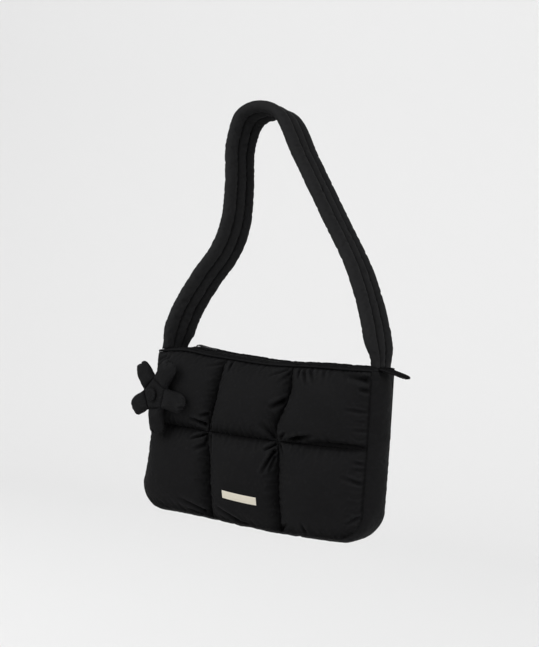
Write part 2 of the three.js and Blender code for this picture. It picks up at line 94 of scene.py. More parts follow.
# The creases that show in the front: the x and z that each runs from and to, its depth and its width
CREASES = [
    (-58.0, 106.0, -79.0, 97.5, 6.0, 1.9),
    (-58.0, 92.0, -72.0, 85.0, 3.0, 2.4),
    (-55.0, 106.0, -57.5, 92.0, 4.0, 1.6),
    (-51.0, 104.0, -45.0, 82.0, 3.6, 2.0),
    (-59.0, 118.0, -82.0, 123.5, 5.2, 2.2),
    (-56.0, 131.0, -68.0, 127.5, 3.2, 1.9),
    (-52.0, 113.0, -49.0, 124.0, 2.6, 1.6),
    (40.0, 105.0, 26.0, 97.0, 5.6, 1.9),
    (40.0, 97.0, 27.0, 69.0, 5.8, 2.0),
    (41.5, 90.0, 35.0, 71.0, 3.8, 1.7),
    (46.0, 105.0, 54.0, 92.0, 3.0, 1.8),
    (62.0, 112.0, 91.0, 120.5, 5.6, 2.8),
    (47.0, 114.0, 56.0, 123.0, 3.6, 1.8),
    (48.5, 158.5, 31.0, 149.0, 6.0, 3.0),
    (38.0, 114.0, 21.0, 132.0, 3.4, 4.0),
    (40.0, 197.0, 20.0, 187.0, 2.6, 2.2),
    (46.0, 192.0, 34.0, 178.0, 1.8, 2.2),
    (57.0, 199.0, 62.0, 184.0, 2.8, 1.9),
    (63.0, 199.0, 77.0, 178.0, 2.8, 2.0),
    (72.0, 199.0, 86.0, 182.0, 2.2, 1.9),
    (90.0, 199.0, 97.0, 188.0, 1.6, 1.7),
    (-37.0, 199.0, -35.0, 184.0, 3.0, 1.8),
    (-48.0, 196.0, -70.0, 189.0, 2.4, 2.2),
    (-133.0, 194.0, -146.0, 185.0, 2.0, 2.2),
    (-127.0, 192.0, -145.0, 177.0, 1.6, 2.4),
    (150.0, 190.0, 118.0, 198.5, 5.0, 3.6),
    (150.0, 178.0, 139.0, 180.0, 4.4, 2.4),
    (150.0, 153.0, 125.0, 156.0, 2.4, 1.6),
    (150.0, 142.0, 137.0, 143.0, 1.4, 1.4),
    (150.0, 131.0, 135.0, 133.0, 1.4, 1.4),
    (150.0, 122.0, 138.0, 121.0, 1.2, 1.4),
    (150.0, 111.5, 70.0, 111.5, 2.2, 3.4),
    (150.0, 92.0, 137.0, 95.0, 2.2, 1.6),
    (150.0, 86.0, 134.0, 86.0, 1.2, 1.5),
    (150.0, 69.0, 127.0, 78.0, 2.8, 1.8),
    (150.0, 30.0, 134.0, 20.0, 2.4, 2.2),
    (-61.0, 9.0, -94.0, 23.0, 3.4, 2.6),
    (-66.0, 3.0, -84.0, 9.0, 2.4, 2.0),
    (-13.0, 7.0, -42.0, 21.0, 3.4, 2.6),
    (-2.0, 3.0, -20.0, 8.0, 2.2, 2.0),
    (46.0, 6.0, 60.0, 17.0, 2.2, 2.2),
    (80.0, 8.0, 79.0, 19.0, 2.2, 2.0),
]
# The many slight puckers along the seams: how far apart, how far askew in radians, how long, how deep
# and how wide
PUCKERS = Sizes(every=12.0, skew=0.35, length=(5.0, 13.0), depth=(0.2, 0.8), width=(1.1, 1.7))
# The ridges beside a crease, as shares of its depth and width
CREASE_RIDGE = Sizes(share=0.25, out=2.1, spread=1.2)
# How near to the panel's edge and to a quilting seam a crease runs out
CREASE_END = Sizes(edge=3.0, seam=2.2)
# How widely painted shade darkens the cloth: from an edge, from the bottom, on the side of a quilting seam
# turned from the light and on its lit side, and from a row of stitches; and how deep a crease must be for the
# fullest painted shade
PAINTED_SHADE_SIZES = Sizes(edge=0.8, bottom=8.5, hanging=7.5, lying=3.0, stitches=1.1, crease=5.5)
# How strong that painted shade is in each place
PAINTED_SHADE_SHARES = Sizes(edge=0.6, bottom=0.8, seam=0.4, strap=0.45, flower=0.5, corner=0.45)
# The dip where two cloths meet in a seam, and how far a panel's edge laps over the gusset
SEAM_DIP = Sizes(depth=2.4, reach=5.0)
SEAM_LIP = 0.8

# Where the front's cloth is gathered most: the x and z of each place, how far round it, and how much
GATHERS = [
    (-57.0, 109.0, 18.0, 1.0),
    (43.0, 108.0, 20.0, 1.0),
    (-47.0, 196.0, 12.0, 0.6),
    (46.0, 194.0, 18.0, 0.8),
    (140.0, 190.0, 16.0, 0.9),
    (-140.0, 194.0, 12.0, 0.6),
    (-56.0, 6.0, 16.0, 0.5),
    (44.0, 6.0, 14.0, 0.4),
]
LEAST_GATHER = 0.02

# The strap's middle line, end to end: along the bag, behind it, and above the zipped top
STRAP_ROUTE = np.array([
    (-147.0, 0.0, 0.0),
    (-144.7, 2.0, 16.0),
    (-136.0, 9.0, 50.0),
    (-116.7, 17.0, 89.0),
    (-93.8, 25.0, 127.0),
    (-85.5, 32.0, 161.0),
    (-88.0, 41.0, 206.0),
    (-95.5, 51.0, 262.0),
    (-87.0, 58.0, 298.0),
    (-62.0, 60.0, 308.0),
    (-34.0, 57.0, 300.0),
    (4.0, 47.0, 247.5),
    (58.0, 33.0, 172.0),
    (102.0, 21.0, 110.0),
    (130.4, 10.0, 52.0),
    (142.6, 2.0, 16.0),
    (145.0, 0.0, 0.0),
])

# The millimetres in a unit of the cloth simulations, and how unevenly loose cloth starts
SIM_UNIT = 100.0
START_UNEVEN = 0.15
# How each kind of padded cloth is stuffed: its spare length, the spare length where it is gathered,
# how stiffly it bends, its pressure, and the frames that it settles in
FRONT_CLOTH = Sizes(growth=0.018, gather=0.16, bending=0.7, pressure=10.0, frames=24)
BACK_CLOTH = Sizes(growth=0.02, gather=0.1, bending=1.0, pressure=5.0, frames=20)
GUSSET_CLOTH = Sizes(growth=0.012, gather=0.1, bending=1.0, pressure=3.0, frames=20)
STRIP_CLOTH = Sizes(growth=0.012, gather=0.1, bending=1.0, pressure=4.0, frames=16)
STRAP_CLOTH = Sizes(growth=0.008, gather=0.13, bending=1.0, pressure=14.0, frames=20)
FLOWER_CLOTH = Sizes(growth=0.02, gather=0.1, bending=0.8, pressure=12.0, frames=20)

# How full of stuffing each padded piece is
FILL = Sizes(front=0.8, back=0.6, gusset=0.5, strip=0.4, tab=0.3, strap=0.7, flower=0.7)

# The ways that seams face
FORWARD = (0.0, -1.0, 0.0)
UPWARD = (0.0, 0.0, 1.0)
DOWNWARD = (0.0, 0.0, -1.0)

draws = np.random.default_rng(11)


# Shapes that the pieces share

def bell(value, middle, spread):
    """A bell curve, 1 at its middle."""
    return np.exp(-(((value - middle) / spread) ** 2))


def smooth(share):
    """An even rise from 0 to 1 with soft ends."""
    held = np.clip(share, 0, 1)
    return held * held * (3 - 2 * held)


def top_edge(x):
    """The height of the sewn top edge at a place along the bag."""
    hump = TOP_HUMP.height * bell(x, TOP_HUMP.x, TOP_HUMP.spread)
    return HEIGHT + hump - sum(dip.depth * bell(x, dip.x, dip.spread) for dip in TOP_DIPS)


STRAP_FOOT = top_edge(STRAP_ROUTE[0, 0]) + TOP_STRIP.height + 3 * GAP
STRAP_TOP = STRAP_ROUTE[STRAP_ROUTE[:, 2].argmax()] + (0, 0, STRAP_FOOT)
HANG = STRAP_TOP - (0, 0, STRAP.thickness / 2)


def to_row(points):
    """Points of the bag's own frame in the row frame, in metres."""
    return (np.asarray(points) - HANG) / 1000


def on_panel(plain_x, plain_z):
    """Where a point of the panel's plain rectangle lies in the settled bag, with its rounded corners."""
    block_x = WIDTH / 2 - CORNER_RADIUS
    across = np.clip((np.abs(plain_x) - block_x) / CORNER_RADIUS, 0, 1)
    down = np.clip((CORNER_RADIUS - plain_z) / CORNER_RADIUS, 0, 1)
    in_corner = (across > 0) & (down > 0)
    round_x = np.sign(plain_x) * (block_x + CORNER_RADIUS * across * np.sqrt(1 - down**2 / 2))
    round_z = CORNER_RADIUS * (1 - down * np.sqrt(1 - across**2 / 2))
    x = np.where(in_corner, round_x, plain_x)
    z = np.where(in_corner, round_z, plain_z)
    up = plain_z / HEIGHT
    leftward = np.clip(-2 * plain_x / WIDTH, 0, None)
    rightward = np.clip(2 * plain_x / WIDTH, 0, None)
    x = x - LEFT_SPLAY * leftward**2 * (1 - up) ** FADES.splay
    x = x - RIGHT_TAPER * rightward**2 * (1 - up) ** FADES.taper
    z = z + (top_edge(plain_x) - HEIGHT) * up**FADES.top
    z = z + LEFT_LIFT * (0.5 - plain_x / WIDTH) * (1 - up)
    z = z - BOTTOM_SAG.depth * bell(plain_x, BOTTOM_SAG.x, BOTTOM_SAG.spread) * (1 - up) ** FADES.sag
    return x, z


def dome(plain_x, plain_z):
    """A smooth swelling that is 1 in the middle of the panel and 0 at its edge."""
    across = 1 - np.abs(2 * plain_x / WIDTH) ** DOME_POWER
    up = 1 - np.abs(2 * plain_z / HEIGHT - 1) ** DOME_POWER
    return np.clip(across * up, 0, None)


def cell_steps(cells, steps):
    """Steps counted in cells that are closer together beside the seams."""
    count = np.arange(cells * steps + 1) / steps
    cell = np.minimum(np.floor(count), cells - 1)
    return cell + (1 - np.cos(math.pi * (count - cell))) / 2


def pillow(count):
    """0 on the seams and 1 in the middle of a cell, from a place counted in cells."""
    share = count % 1.0
    return np.sqrt(np.clip(4 * share * (1 - share), 0, None))


def smooth_line(points, per_span=40):
    """Close points on a smooth curve through some points, paced by the distances between these."""
    first = 2 * points[0] - points[1]
    last = 2 * points[-1] - points[-2]
    padded = np.vstack([first, points, last])
    share = np.linspace(0, 1, per_span, endpoint=False)[:, None]
    spans = []
    for k in range(len(points) - 1):
        before, start, end, after = padded[k : k + 4]
        pairs = ((before, start), (start, end), (end, after))
        lead, gap, trail = (np.sqrt(np.linalg.norm(b - a)) for a, b in pairs)
        leave = ((start - before) / lead - (end - before) / (lead + gap) + (end - start) / gap) * gap
        arrive = ((end - start) / gap - (after - start) / (gap + trail) + (after - end) / trail) * gap
        square = 3 * (end - start) - 2 * leave - arrive
        cube = 2 * (start - end) + leave + arrive
        spans.append(start + leave * share + square * share**2 + cube * share**3)
    return np.vstack([*spans, points[-1:]])


def line_lengths(points):
    """The distance along a line of points to each of them."""
    steps = np.linalg.norm(np.diff(points, axis=0), axis=1)
    return np.concatenate([[0], np.cumsum(steps)])


def even_points(points, count):
    """A count of points spread evenly along a line."""
    lengths = line_lengths(points)
    wanted = np.linspace(0, lengths[-1], count)
    return np.stack([np.interp(wanted, lengths, points[:, axis]) for axis in range(points.shape[1])], -1)


# Meshes

def grid_quads(rows, columns, around=False):
    """The quads of a grid of points, and the row and the column of each corner. Round a tube, the columns
    run on past the join."""
    steps = columns if around else columns - 1
    row, column = np.meshgrid(np.arange(rows - 1), np.arange(steps), indexing="ij")
    corner_rows = np.stack([row, row, row + 1, row + 1], -1).reshape(-1, 4)
    corner_columns = np.stack([column, column + 1, column + 1, column], -1).reshape(-1, 4)
    return corner_rows * columns + corner_columns % columns, corner_rows, corner_columns


def halved(points, around=False):
    """Points with a new one in each gap, on a smooth curve through the old ones."""
    if around:
        before, after = np.roll(points, 1, 0), np.roll(points, -1, 0)
        beyond = np.roll(points, -2, 0)
        middles = (9 * (points + after) - before - beyond) / 16
        return np.stack([points, middles], 1).reshape(-1, *points.shape[1:])
    wide = np.concatenate([2 * points[:1] - points[1:2], points, 2 * points[-1:] - points[-2:-1]])
    middles = (9 * (wide[1:-2] + wide[2:-1]) - wide[:-3] - wide[3:]) / 16
    pairs = np.stack([points[:-1], middles], 1).reshape(-1, *points.shape[1:])
    return np.concatenate([pairs, points[-1:]])


def refined(grid, around=False):
    """A grid of points with twice as many steps each way."""
    taller = halved(grid)
    return halved(taller.swapaxes(0, 1), around).swapaxes(0, 1)


def two_faced(outer, inner, every):
    """A closed shell from an outer grid of points and an inner grid, which has one step for every few of the
    outer grid's. Returns points and faces."""
    rows, columns = outer.shape[:2]
    few_rows, few_columns = inner.shape[:2]
    outer_index = np.arange(rows * columns).reshape(rows, columns)
    inner_index = rows * columns + np.arange(few_rows * few_columns).reshape(few_rows, few_columns)

    def rim(index):
        return np.concatenate([index[0, :-1], index[:-1, -1], index[-1, :0:-1], index[:0:-1, 0]])

    faces = grid_quads(rows, columns)[0].tolist()
    faces += (rows * columns + grid_quads(few_rows, few_columns)[0])[:, ::-1].tolist()
    outer_rim, inner_rim = rim(outer_index), rim(inner_index)
    for k, corner in enumerate(inner_rim):
        reached = [outer_rim[(k * every + step) % len(outer_rim)] for step in range(every + 1)]
        following = inner_rim[(k + 1) % len(inner_rim)]
        faces += [[int(corner), int(b), int(a)] for a, b in zip(reached, reached[1:])]
        faces.append([int(corner), int(following), int(reached[-1])])
    return np.concatenate([outer.reshape(-1, 3), inner.reshape(-1, 3)]), faces


def tube(rings):
    """A closed tube from rings of points, with each end closed by a strip. Returns points and faces."""
    count, around = rings.shape[:2]
    faces = grid_quads(count, around, True)[0].tolist()
    last = (count - 1) * around
    for k in range(around // 2 - 1):
        far = around - 1 - k
        faces.append([k, far, far - 1, k + 1])
        faces.append([last + k, last + k + 1, last + far - 1, last + far])
    return rings.reshape(-1, 3), faces


def hoop(rings):
    """A closed ring from rings of points whose last one joins its first. Returns points and faces."""
    count, around = rings.shape[:2]
    _, corner_rows, corner_columns = grid_quads(count + 1, around, True)
    return rings.reshape(-1, 3), (corner_rows % count * around + corner_columns % around).tolist()


def wire(middle, out, radii, sides=6):
    """Rings of points round a line. It faces one direction and has one radius, or one for each point."""
    out = np.broadcast_to(out, middle.shape)
    run = np.gradient(middle, axis=0)
    side = np.cross(out, run)
    side /= np.linalg.norm(side, axis=1, keepdims=True)
    turns = np.linspace(0, 2 * math.pi, sides, endpoint=False)
    ring = np.cos(turns)[None, :, None] * side[:, None] + np.sin(turns)[None, :, None] * out[:, None]
    return middle[:, None] + ring * np.broadcast_to(radii, len(middle))[:, None, None]


def joined(bodies):
    """Several bodies as one list of points and one of faces."""
    points, faces, first = [], [], 0
    for body_points, body_faces in bodies:
        points.append(body_points)
        faces += [[first + int(corner) for corner in face] for face in body_faces]
        first += len(body_points)
    return np.concatenate(points), faces


# How the cloth around a ridge is averaged, and how many usual differences a full mark spans
RIDGE = Sizes(rounds=12, blur=0.6, spread=4, least=1e-9)


def ridge_marks(mesh):
    """Marks how much each point stands proud of the cloth around it, for wear on the folds."""
    count = len(mesh.vertices)
    edges = np.zeros(len(mesh.edges) * 2, np.int32)
    mesh.edges.foreach_get("vertices", edges)
    a, b = edges.reshape(-1, 2).T
    places = np.zeros(count * 3, np.float32)
    mesh.vertices.foreach_get("co", places)
    places = places.reshape(-1, 3)
    normals = np.zeros(count * 3, np.float32)
    mesh.vertex_normals.foreach_get("vector", normals)
    neighbours = np.maximum(np.bincount(a, minlength=count) + np.bincount(b, minlength=count), 1)
    blurred = places.astype(float)
    for _ in range(RIDGE.rounds):
        total = np.stack([
            np.bincount(a, blurred[b, axis], count) + np.bincount(b, blurred[a, axis], count)
            for axis in range(3)
        ], -1)
        blurred = (1 - RIDGE.blur) * blurred + RIDGE.blur * total / neighbours[:, None]
    proud = ((places - blurred) * normals.reshape(-1, 3)).sum(1)
    marks = np.clip(0.5 + proud / (RIDGE.spread * proud.std() + RIDGE.least), 0, 1)
    mesh.attributes.new("ridge", "FLOAT", "POINT").data.foreach_set("value", marks.astype(np.float32))


def make_piece(name, points, faces, finish, slot, stands_for=(), cloth_places=None, fill=None, tucked=None):
    """A piece of the bag from points in the bag's own frame. cloth_places are its points on the flat cloth,
    and the last argument is the painted shade of each of its first points, which darkens the cloth in seams,
    creases and along edges, where shade falls."""
    mesh = bpy.data.meshes.new(name)
    mesh.from_pydata(to_row(points).tolist(), [], [list(map(int, face)) for face in faces])
    mesh.shade_smooth()
    mesh.materials.append(finish)
    if cloth_places is not None:
        corners = np.zeros(len(mesh.loops), np.int32)
        mesh.loops.foreach_get("vertex_index", corners)
        flat = np.asarray(cloth_places, np.float32)[corners]
        mesh.uv_layers.new(name="cloth").uv.foreach_set("vector", flat.ravel())
    # The painted shade, kept on the points as an attribute that the finishes darken by
    if tucked is not None:
        marks = np.zeros(len(points), np.float32)
        marks[: tucked.size] = np.clip(tucked.ravel(), 0, 1)
        mesh.attributes.new("tucked", "FLOAT", "POINT").data.foreach_set("value", marks)
    ridge_marks(mesh)
    piece = bpy.data.objects.new(name, mesh)
    bpy.context.scene.collection.objects.link(piece)
    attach(piece, "root")
    if stands_for:
        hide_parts(*stands_for)
    return piece


def stuffed(points, faces, sewn, gathered, cloth):
    """The settled points of cloth with spare length, held where it is sewn and blown out by its stuffing."""
    scene = bpy.context.scene
    loose = sewn < 1
    start = points.reshape(-1, 3).copy()
    start[loose.ravel()] += draws.normal(0, START_UNEVEN, (int(loose.sum()), 3))
    mesh = bpy.data.meshes.new("cloth")
    mesh.from_pydata((start / SIM_UNIT).tolist(), [], faces.tolist())
    swatch = bpy.data.objects.new("cloth", mesh)
    scene.collection.objects.link(swatch)
    for name, weights in (("sewn", sewn), ("gathered", gathered)):
        group = swatch.vertex_groups.new(name=name)
        for place in np.flatnonzero(weights):
            group.add([int(place)], float(weights.flat[place]), "REPLACE")
    stuffing = swatch.modifiers.new("stuffing", "CLOTH")
    settings = stuffing.settings
    settings.vertex_group_mass = "sewn"
    settings.vertex_group_shrink = "gathered"
    settings.shrink_min = -cloth.growth
    settings.shrink_max = -cloth.gather
    settings.quality = 6
    settings.mass = 0.02
    settings.tension_stiffness = 40
    settings.compression_stiffness = 40
    settings.shear_stiffness = 15
    settings.bending_stiffness = cloth.bending
    settings.pin_stiffness = 20
    settings.air_damping = 2
    settings.use_pressure = True
    settings.uniform_pressure_force = cloth.pressure
    settings.effector_weights.gravity = 0
    stuffing.point_cache.frame_end = cloth.frames
    for number in range(1, cloth.frames + 1):
        scene.frame_set(number)
    settled = swatch.evaluated_get(bpy.context.evaluated_depsgraph_get()).data
    places = np.zeros(len(settled.vertices) * 3, np.float32)
    settled.vertices.foreach_get("co", places)
    bpy.data.objects.remove(swatch)
    bpy.data.meshes.remove(mesh)
    scene.frame_set(1)
    return places.reshape(points.shape).astype(float) * SIM_UNIT


def flat_places(outer, inner):
    """Where the points of a piece's outer and inner face lie on the flat cloth."""
    return np.concatenate([outer.reshape(-1, 2), inner.reshape(-1, 2)])


def held_edges(rows, columns):
    """Weights that hold the four edges of a grid."""
    sewn = np.zeros((rows, columns))
    sewn[[0, -1]] = 1
    sewn[:, [0, -1]] = 1
    return sewn


def stitched(lines, length=2.6, gap=1.0, radius=0.28, lift=0.1):
    """Thread stitches along lines of points, each with the direction that it faces or one for each point.
    Returns points and faces."""
    shares = np.array([0.0, 0.16, 0.5, 0.84, 1.0])
    girths = np.array([0.25, 0.9, 1.0, 0.9, 0.25])
    rises = np.array([-0.5, 0.35, 0.6, 0.35, -0.5])
    bodies = []
    for line, facing in lines:
        facing = np.broadcast_to(facing, line.shape)
        lengths = line_lengths(line)
        for begin in np.arange(gap / 2, lengths[-1] - length, length + gap):
            at = begin + shares * length
            middle = np.stack([np.interp(at, lengths, line[:, axis]) for axis in range(3)], -1)
            out = np.stack([np.interp(at, lengths, facing[:, axis]) for axis in range(3)], -1)
            out /= np.linalg.norm(out, axis=1, keepdims=True)
            raised = middle + out * (lift + rises[:, None] * radius)
            bodies.append(tube(wire(raised, out, radius * girths)))
    return joined(bodies)


# Finishes

def link(tree, source, target):
    """Feeds a socket from another socket or from a plain value."""
    if isinstance(source, bpy.types.NodeSocket):
        tree.links.new(source, target)
    else:
        target.default_value = source


def reckon(tree, operation, *values):
    """A Math node's result."""
    node = tree.nodes.new("ShaderNodeMath")
    node.operation = operation
    for value, socket in zip(values, node.inputs):
        link(tree, value, socket)
    return node.outputs[0]


def noise_of(tree, place, scale, detail=3.0):
    """A noise over the surface, with a number of blotches to the metre."""
    node = tree.nodes.new("ShaderNodeTexNoise")
    node.inputs["Scale"].default_value = scale
    node.inputs["Detail"].default_value = detail
    tree.links.new(place, node.inputs["Vector"])
    return node.outputs["Fac"]


def ranged(tree, value, low, high, to_low, to_high):
    """A value carried over from one range to another."""
    node = tree.nodes.new("ShaderNodeMapRange")
    for source, name in (
        (value, "Value"),
        (low, "From Min"),
        (high, "From Max"),
        (to_low, "To Min"),
        (to_high, "To Max"),
    ):
        link(tree, source, node.inputs[name])
    return node.outputs["Result"]


def mixed(tree, share, first, second):
    """A colour between two others."""
    node = tree.nodes.new("ShaderNodeMix")
    node.data_type = "RGBA"
    link(tree, share, node.inputs["Factor"])
    link(tree, first, node.inputs["A"])
    link(tree, second, node.inputs["B"])
    return node.outputs["Result"]


def new_group(name, inputs, outputs):
    """An empty shader node group with named sockets. Returns it with its input and output nodes."""
    group = bpy.data.node_groups.new(name, "ShaderNodeTree")
    for direction, sockets in (("INPUT", inputs), ("OUTPUT", outputs)):
        for socket, kind in sockets:
            group.interface.new_socket(name=socket, in_out=direction, socket_type=f"NodeSocket{kind}")
    return group, group.nodes.new("NodeGroupInput"), group.nodes.new("NodeGroupOutput")


# A thread's middle height in the weave, and how far it goes over and under it
WEAVE_HEIGHTS = Sizes(middle=0.62, over=0.38)
# How many blotches of the dye, fine specks and bits of lint there are to the metre
DYE_SCALES = Sizes(broad=28.0, fine=420.0, lint=1500.0)
# How much each of them lightens the cloth, and worn ridges too
LIGHTER = Sizes(broad=0.5, fine=0.25, lint=0.5, worn=0.55)
# Where the noise turns to lint, and where a ridge begins to be worn
LINT_FROM, LINT_TO = 0.7, 0.78
WORN_FROM = 0.55
# How much darker the cloth is drawn under the fullest painted shade
PAINTED_SHADE_DARKNESS = 0.8
# How much rougher the dye's blotches, worn ridges and cloth under painted shade are
ROUGHER = Sizes(broad=0.16, worn=-0.12, tucked=0.25)
# The share of the fine specks in the height of woven cloth, and the depth of that height in metres
RELIEF = Sizes(fine=0.5, depth=0.0004)


def weave_group():
    """A plain weave: threads that pass over and under each other, as a height."""
    group, given, made = new_group(
        "Plain weave",
        [("Place", "Vector"), ("Pitch", "Float")],
        [("Height", "Float")],
    )
    split = group.nodes.new("ShaderNodeSeparateXYZ")
    group.links.new(given.outputs["Place"], split.inputs[0])
    waves = []
    for axis in ("X", "Y"):
        threads = reckon(group, "DIVIDE", split.outputs[axis], given.outputs["Pitch"])
        waves.append(reckon(group, "SINE", reckon(group, "MULTIPLY", threads, math.pi)))
    over = reckon(group, "MULTIPLY", waves[0], waves[1])
    heights = []
    for wave, share in zip(waves, (WEAVE_HEIGHTS.over, -WEAVE_HEIGHTS.over)):
        lift = reckon(group, "MULTIPLY_ADD", over, share, WEAVE_HEIGHTS.middle)
        heights.append(reckon(group, "MULTIPLY", reckon(group, "ABSOLUTE", wave), lift))
    group.links.new(reckon(group, "MAXIMUM", *heights), made.inputs["Height"])
    return group


def tone_group():
    """Uneven dye, lint and wear, and painted shade that darkens the cloth where it is marked shaded: a
    colour, a roughness and a height.
    """
    group, given, made = new_group(
        "Dye, wear and painted shade",
        [
            ("Place", "Vector"),
            ("Dark", "Color"),
            ("Light", "Color"),
            ("Ridge", "Float"),
            ("Tucked", "Float"),
            ("Gloss", "Float"),
        ],
        [("Color", "Color"), ("Roughness", "Float"), ("Height", "Float")],
    )
    place = given.outputs["Place"]
    tucked = given.outputs["Tucked"]
    broad = noise_of(group, place, DYE_SCALES.broad)
    fine = noise_of(group, place, DYE_SCALES.fine, 2.0)
    bits = noise_of(group, place, DYE_SCALES.lint, 1.0)
    lint = ranged(group, bits, LINT_FROM, LINT_TO, 0.0, LIGHTER.lint)
    worn = ranged(group, given.outputs["Ridge"], WORN_FROM, 1.0, 0.0, LIGHTER.worn)
    share = reckon(group, "MULTIPLY", fine, LIGHTER.fine)
    share = reckon(group, "MULTIPLY_ADD", broad, LIGHTER.broad, share)
    share = reckon(group, "ADD", share, reckon(group, "MAXIMUM", lint, worn))
    share = reckon(group, "MINIMUM", share, 1.0)
    color = mixed(group, share, given.outputs["Dark"], given.outputs["Light"])
    # Painted shade: the colour is mixed towards black as far as the cloth is marked shaded
    color = mixed(group, reckon(group, "MULTIPLY", tucked, PAINTED_SHADE_DARKNESS), color, (0.0, 0.0, 0.0, 1.0))
    group.links.new(color, made.inputs["Color"])
    rough = reckon(group, "SUBTRACT", given.outputs["Gloss"], ROUGHER.broad / 2)
    for mask, amount in ((broad, ROUGHER.broad), (worn, ROUGHER.worn), (tucked, ROUGHER.tucked)):
        rough = reckon(group, "MULTIPLY_ADD", mask, amount, rough)
    group.links.new(rough, made.inputs["Roughness"])
    group.links.new(fine, made.inputs["Height"])
    return group


WEAVE = weave_group()
TONE = tone_group()


def finish_of(name, dark, light, roughness, weave_pitch=0.0, bump=0.1, **sockets):
    """A finish with uneven dye and wear. With a weave pitch in millimetres, it is woven along its cloth."""
    material = bpy.data.materials.new(name)
    material.use_nodes = True
    tree = material.node_tree
    shader = tree.nodes["Principled BSDF"]
    for socket, value in sockets.items():
        shader.inputs[socket.replace("_", " ")].default_value = value
    place = tree.nodes.new("ShaderNodeTexCoord").outputs["Object"]
    tone = tree.nodes.new("ShaderNodeGroup")
    tone.node_tree = TONE
    # The ridge marks for wear, and the painted shade marks
    for mark in ("ridge", "tucked"):
        attribute = tree.nodes.new("ShaderNodeAttribute")
        attribute.attribute_name = mark
        tree.links.new(attribute.outputs["Fac"], tone.inputs[mark.capitalize()])
    tone.inputs["Dark"].default_value = (*dark, 1)
    tone.inputs["Light"].default_value = (*light, 1)
    tone.inputs["Gloss"].default_value = roughness
    tree.links.new(place, tone.inputs["Place"])
    tree.links.new(tone.outputs["Color"], shader.inputs["Base Color"])
    tree.links.new(tone.outputs["Roughness"], shader.inputs["Roughness"])
    height = tone.outputs["Height"]
    if weave_pitch:
        cloth = tree.nodes.new("ShaderNodeUVMap")
        cloth.uv_map = "cloth"
        weave = tree.nodes.new("ShaderNodeGroup")
        weave.node_tree = WEAVE
        weave.inputs["Pitch"].default_value = weave_pitch
        tree.links.new(cloth.outputs["UV"], weave.inputs["Place"])
        height = reckon(tree, "MULTIPLY_ADD", height, RELIEF.fine, weave.outputs["Height"])
    relief = tree.nodes.new("ShaderNodeBump")
    relief.inputs["Strength"].default_value = bump
    relief.inputs["Distance"].default_value = RELIEF.depth
    tree.links.new(height, relief.inputs["Height"])
    tree.links.new(relief.outputs["Normal"], shader.inputs["Normal"])
    return material


# Linear colours
DEEP_BLACK = (0.0024, 0.0024, 0.0025)
BLACK = (0.007, 0.007, 0.0073)
FADED_BLACK = (0.0126, 0.0126, 0.0131)
# The strap's own black nylon, painted lighter than the shell's to stand in for the stronger light that falls
# on the strap
STRAP_BLACK_PAINTED_LIGHTER = (0.0106, 0.0106, 0.011)
FADED_STRAP_PAINTED_LIGHTER = (0.0186, 0.0186, 0.0192)
WORN_LACQUER = (0.02, 0.02, 0.021)
DEEP_CREAM = (0.6, 0.555, 0.45)
CREAM = (0.74, 0.7, 0.6)
DEEP_CREAM_THREAD = (0.58, 0.54, 0.44)
CREAM_THREAD = (0.72, 0.68, 0.58)
STEEL = (0.4, 0.4, 0.41)
BRIGHT_STEEL = (0.55, 0.55, 0.56)
PAPER = (0.795, 0.795, 0.795)
PALE_PAPER = (0.805, 0.805, 0.805)
NYLON_SHEEN = {"Specular_IOR_Level": 0.012, "Sheen_Weight": 0.004, "Sheen_Roughness": 0.35}
# After its two colours, a finish has its roughness, and woven cloth its pitch and the strength of its relief
shell_nylon = finish_of("shell nylon", BLACK, FADED_BLACK, 0.62, 0.55, 0.25, **NYLON_SHEEN)
strap_nylon = finish_of("strap nylon", STRAP_BLACK_PAINTED_LIGHTER, FADED_STRAP_PAINTED_LIGHTER, 0.62, 0.55, 0.25, **NYLON_SHEEN)
flower_nylon = finish_of("flower nylon", BLACK, FADED_BLACK, 0.66, 0.6, 0.3, **NYLON_SHEEN)
binding_nylon = finish_of("binding nylon", BLACK, FADED_BLACK, 0.9, 0.8, 0.4, Specular_IOR_Level=0.0)
thread = finish_of("sewing thread", DEEP_BLACK, DEEP_BLACK, 0.7, Specular_IOR_Level=0.0)
tape_weave = finish_of("zip tape", DEEP_BLACK, BLACK, 0.9, 0.8, 0.5, Specular_IOR_Level=0.0)
coil_plastic = finish_of("zip coil", DEEP_BLACK, BLACK, 0.6, bump=0.05, Specular_IOR_Level=0.03)
black_metal = finish_of("lacquered metal", BLACK, WORN_LACQUER, 0.5, bump=0.08, Specular_IOR_Level=0.08)
label_cloth = finish_of("label cloth", DEEP_CREAM, CREAM, 0.8, 0.75, 0.6, Sheen_Weight=0.1)
label_thread = finish_of("label thread", DEEP_CREAM_THREAD, CREAM_THREAD, 0.6)
pin_steel = finish_of("pin steel", STEEL, BRIGHT_STEEL, 0.3, bump=0.06, Metallic=1.0)


# The quilted front

def seam_x(seam, z):
    """Where an upright seam is at a height."""
    aside = sum(offset * bell(z, height, spread) for height, spread, offset in seam.swings)
    return seam.bottom + (seam.top - seam.bottom) * z / HEIGHT + aside


def turned_in(edge):
    """How far cloth turns in towards its seam, at a distance from its sewn edge."""
    return SEAM_DIP.depth * (1 - np.clip(edge / SEAM_DIP.reach, 0, 1)) ** 2


def panel_edge(plain_x, plain_z):
    """The distance from places on a panel to its nearest edge."""
    return np.minimum(WIDTH / 2 - np.abs(plain_x), np.minimum(plain_z, HEIGHT - plain_z))


def nearest_seam(plain_x, plain_z):
    """The distance from places on the front to its nearest quilting seam."""
    distances = [np.abs(plain_x - seam_x(seam, plain_z)) for seam in UPRIGHTS[1:-1]]
    distances += [np.abs(plain_z - level) for level in LEVELS[1:-1]]
    return np.min(distances, axis=0)


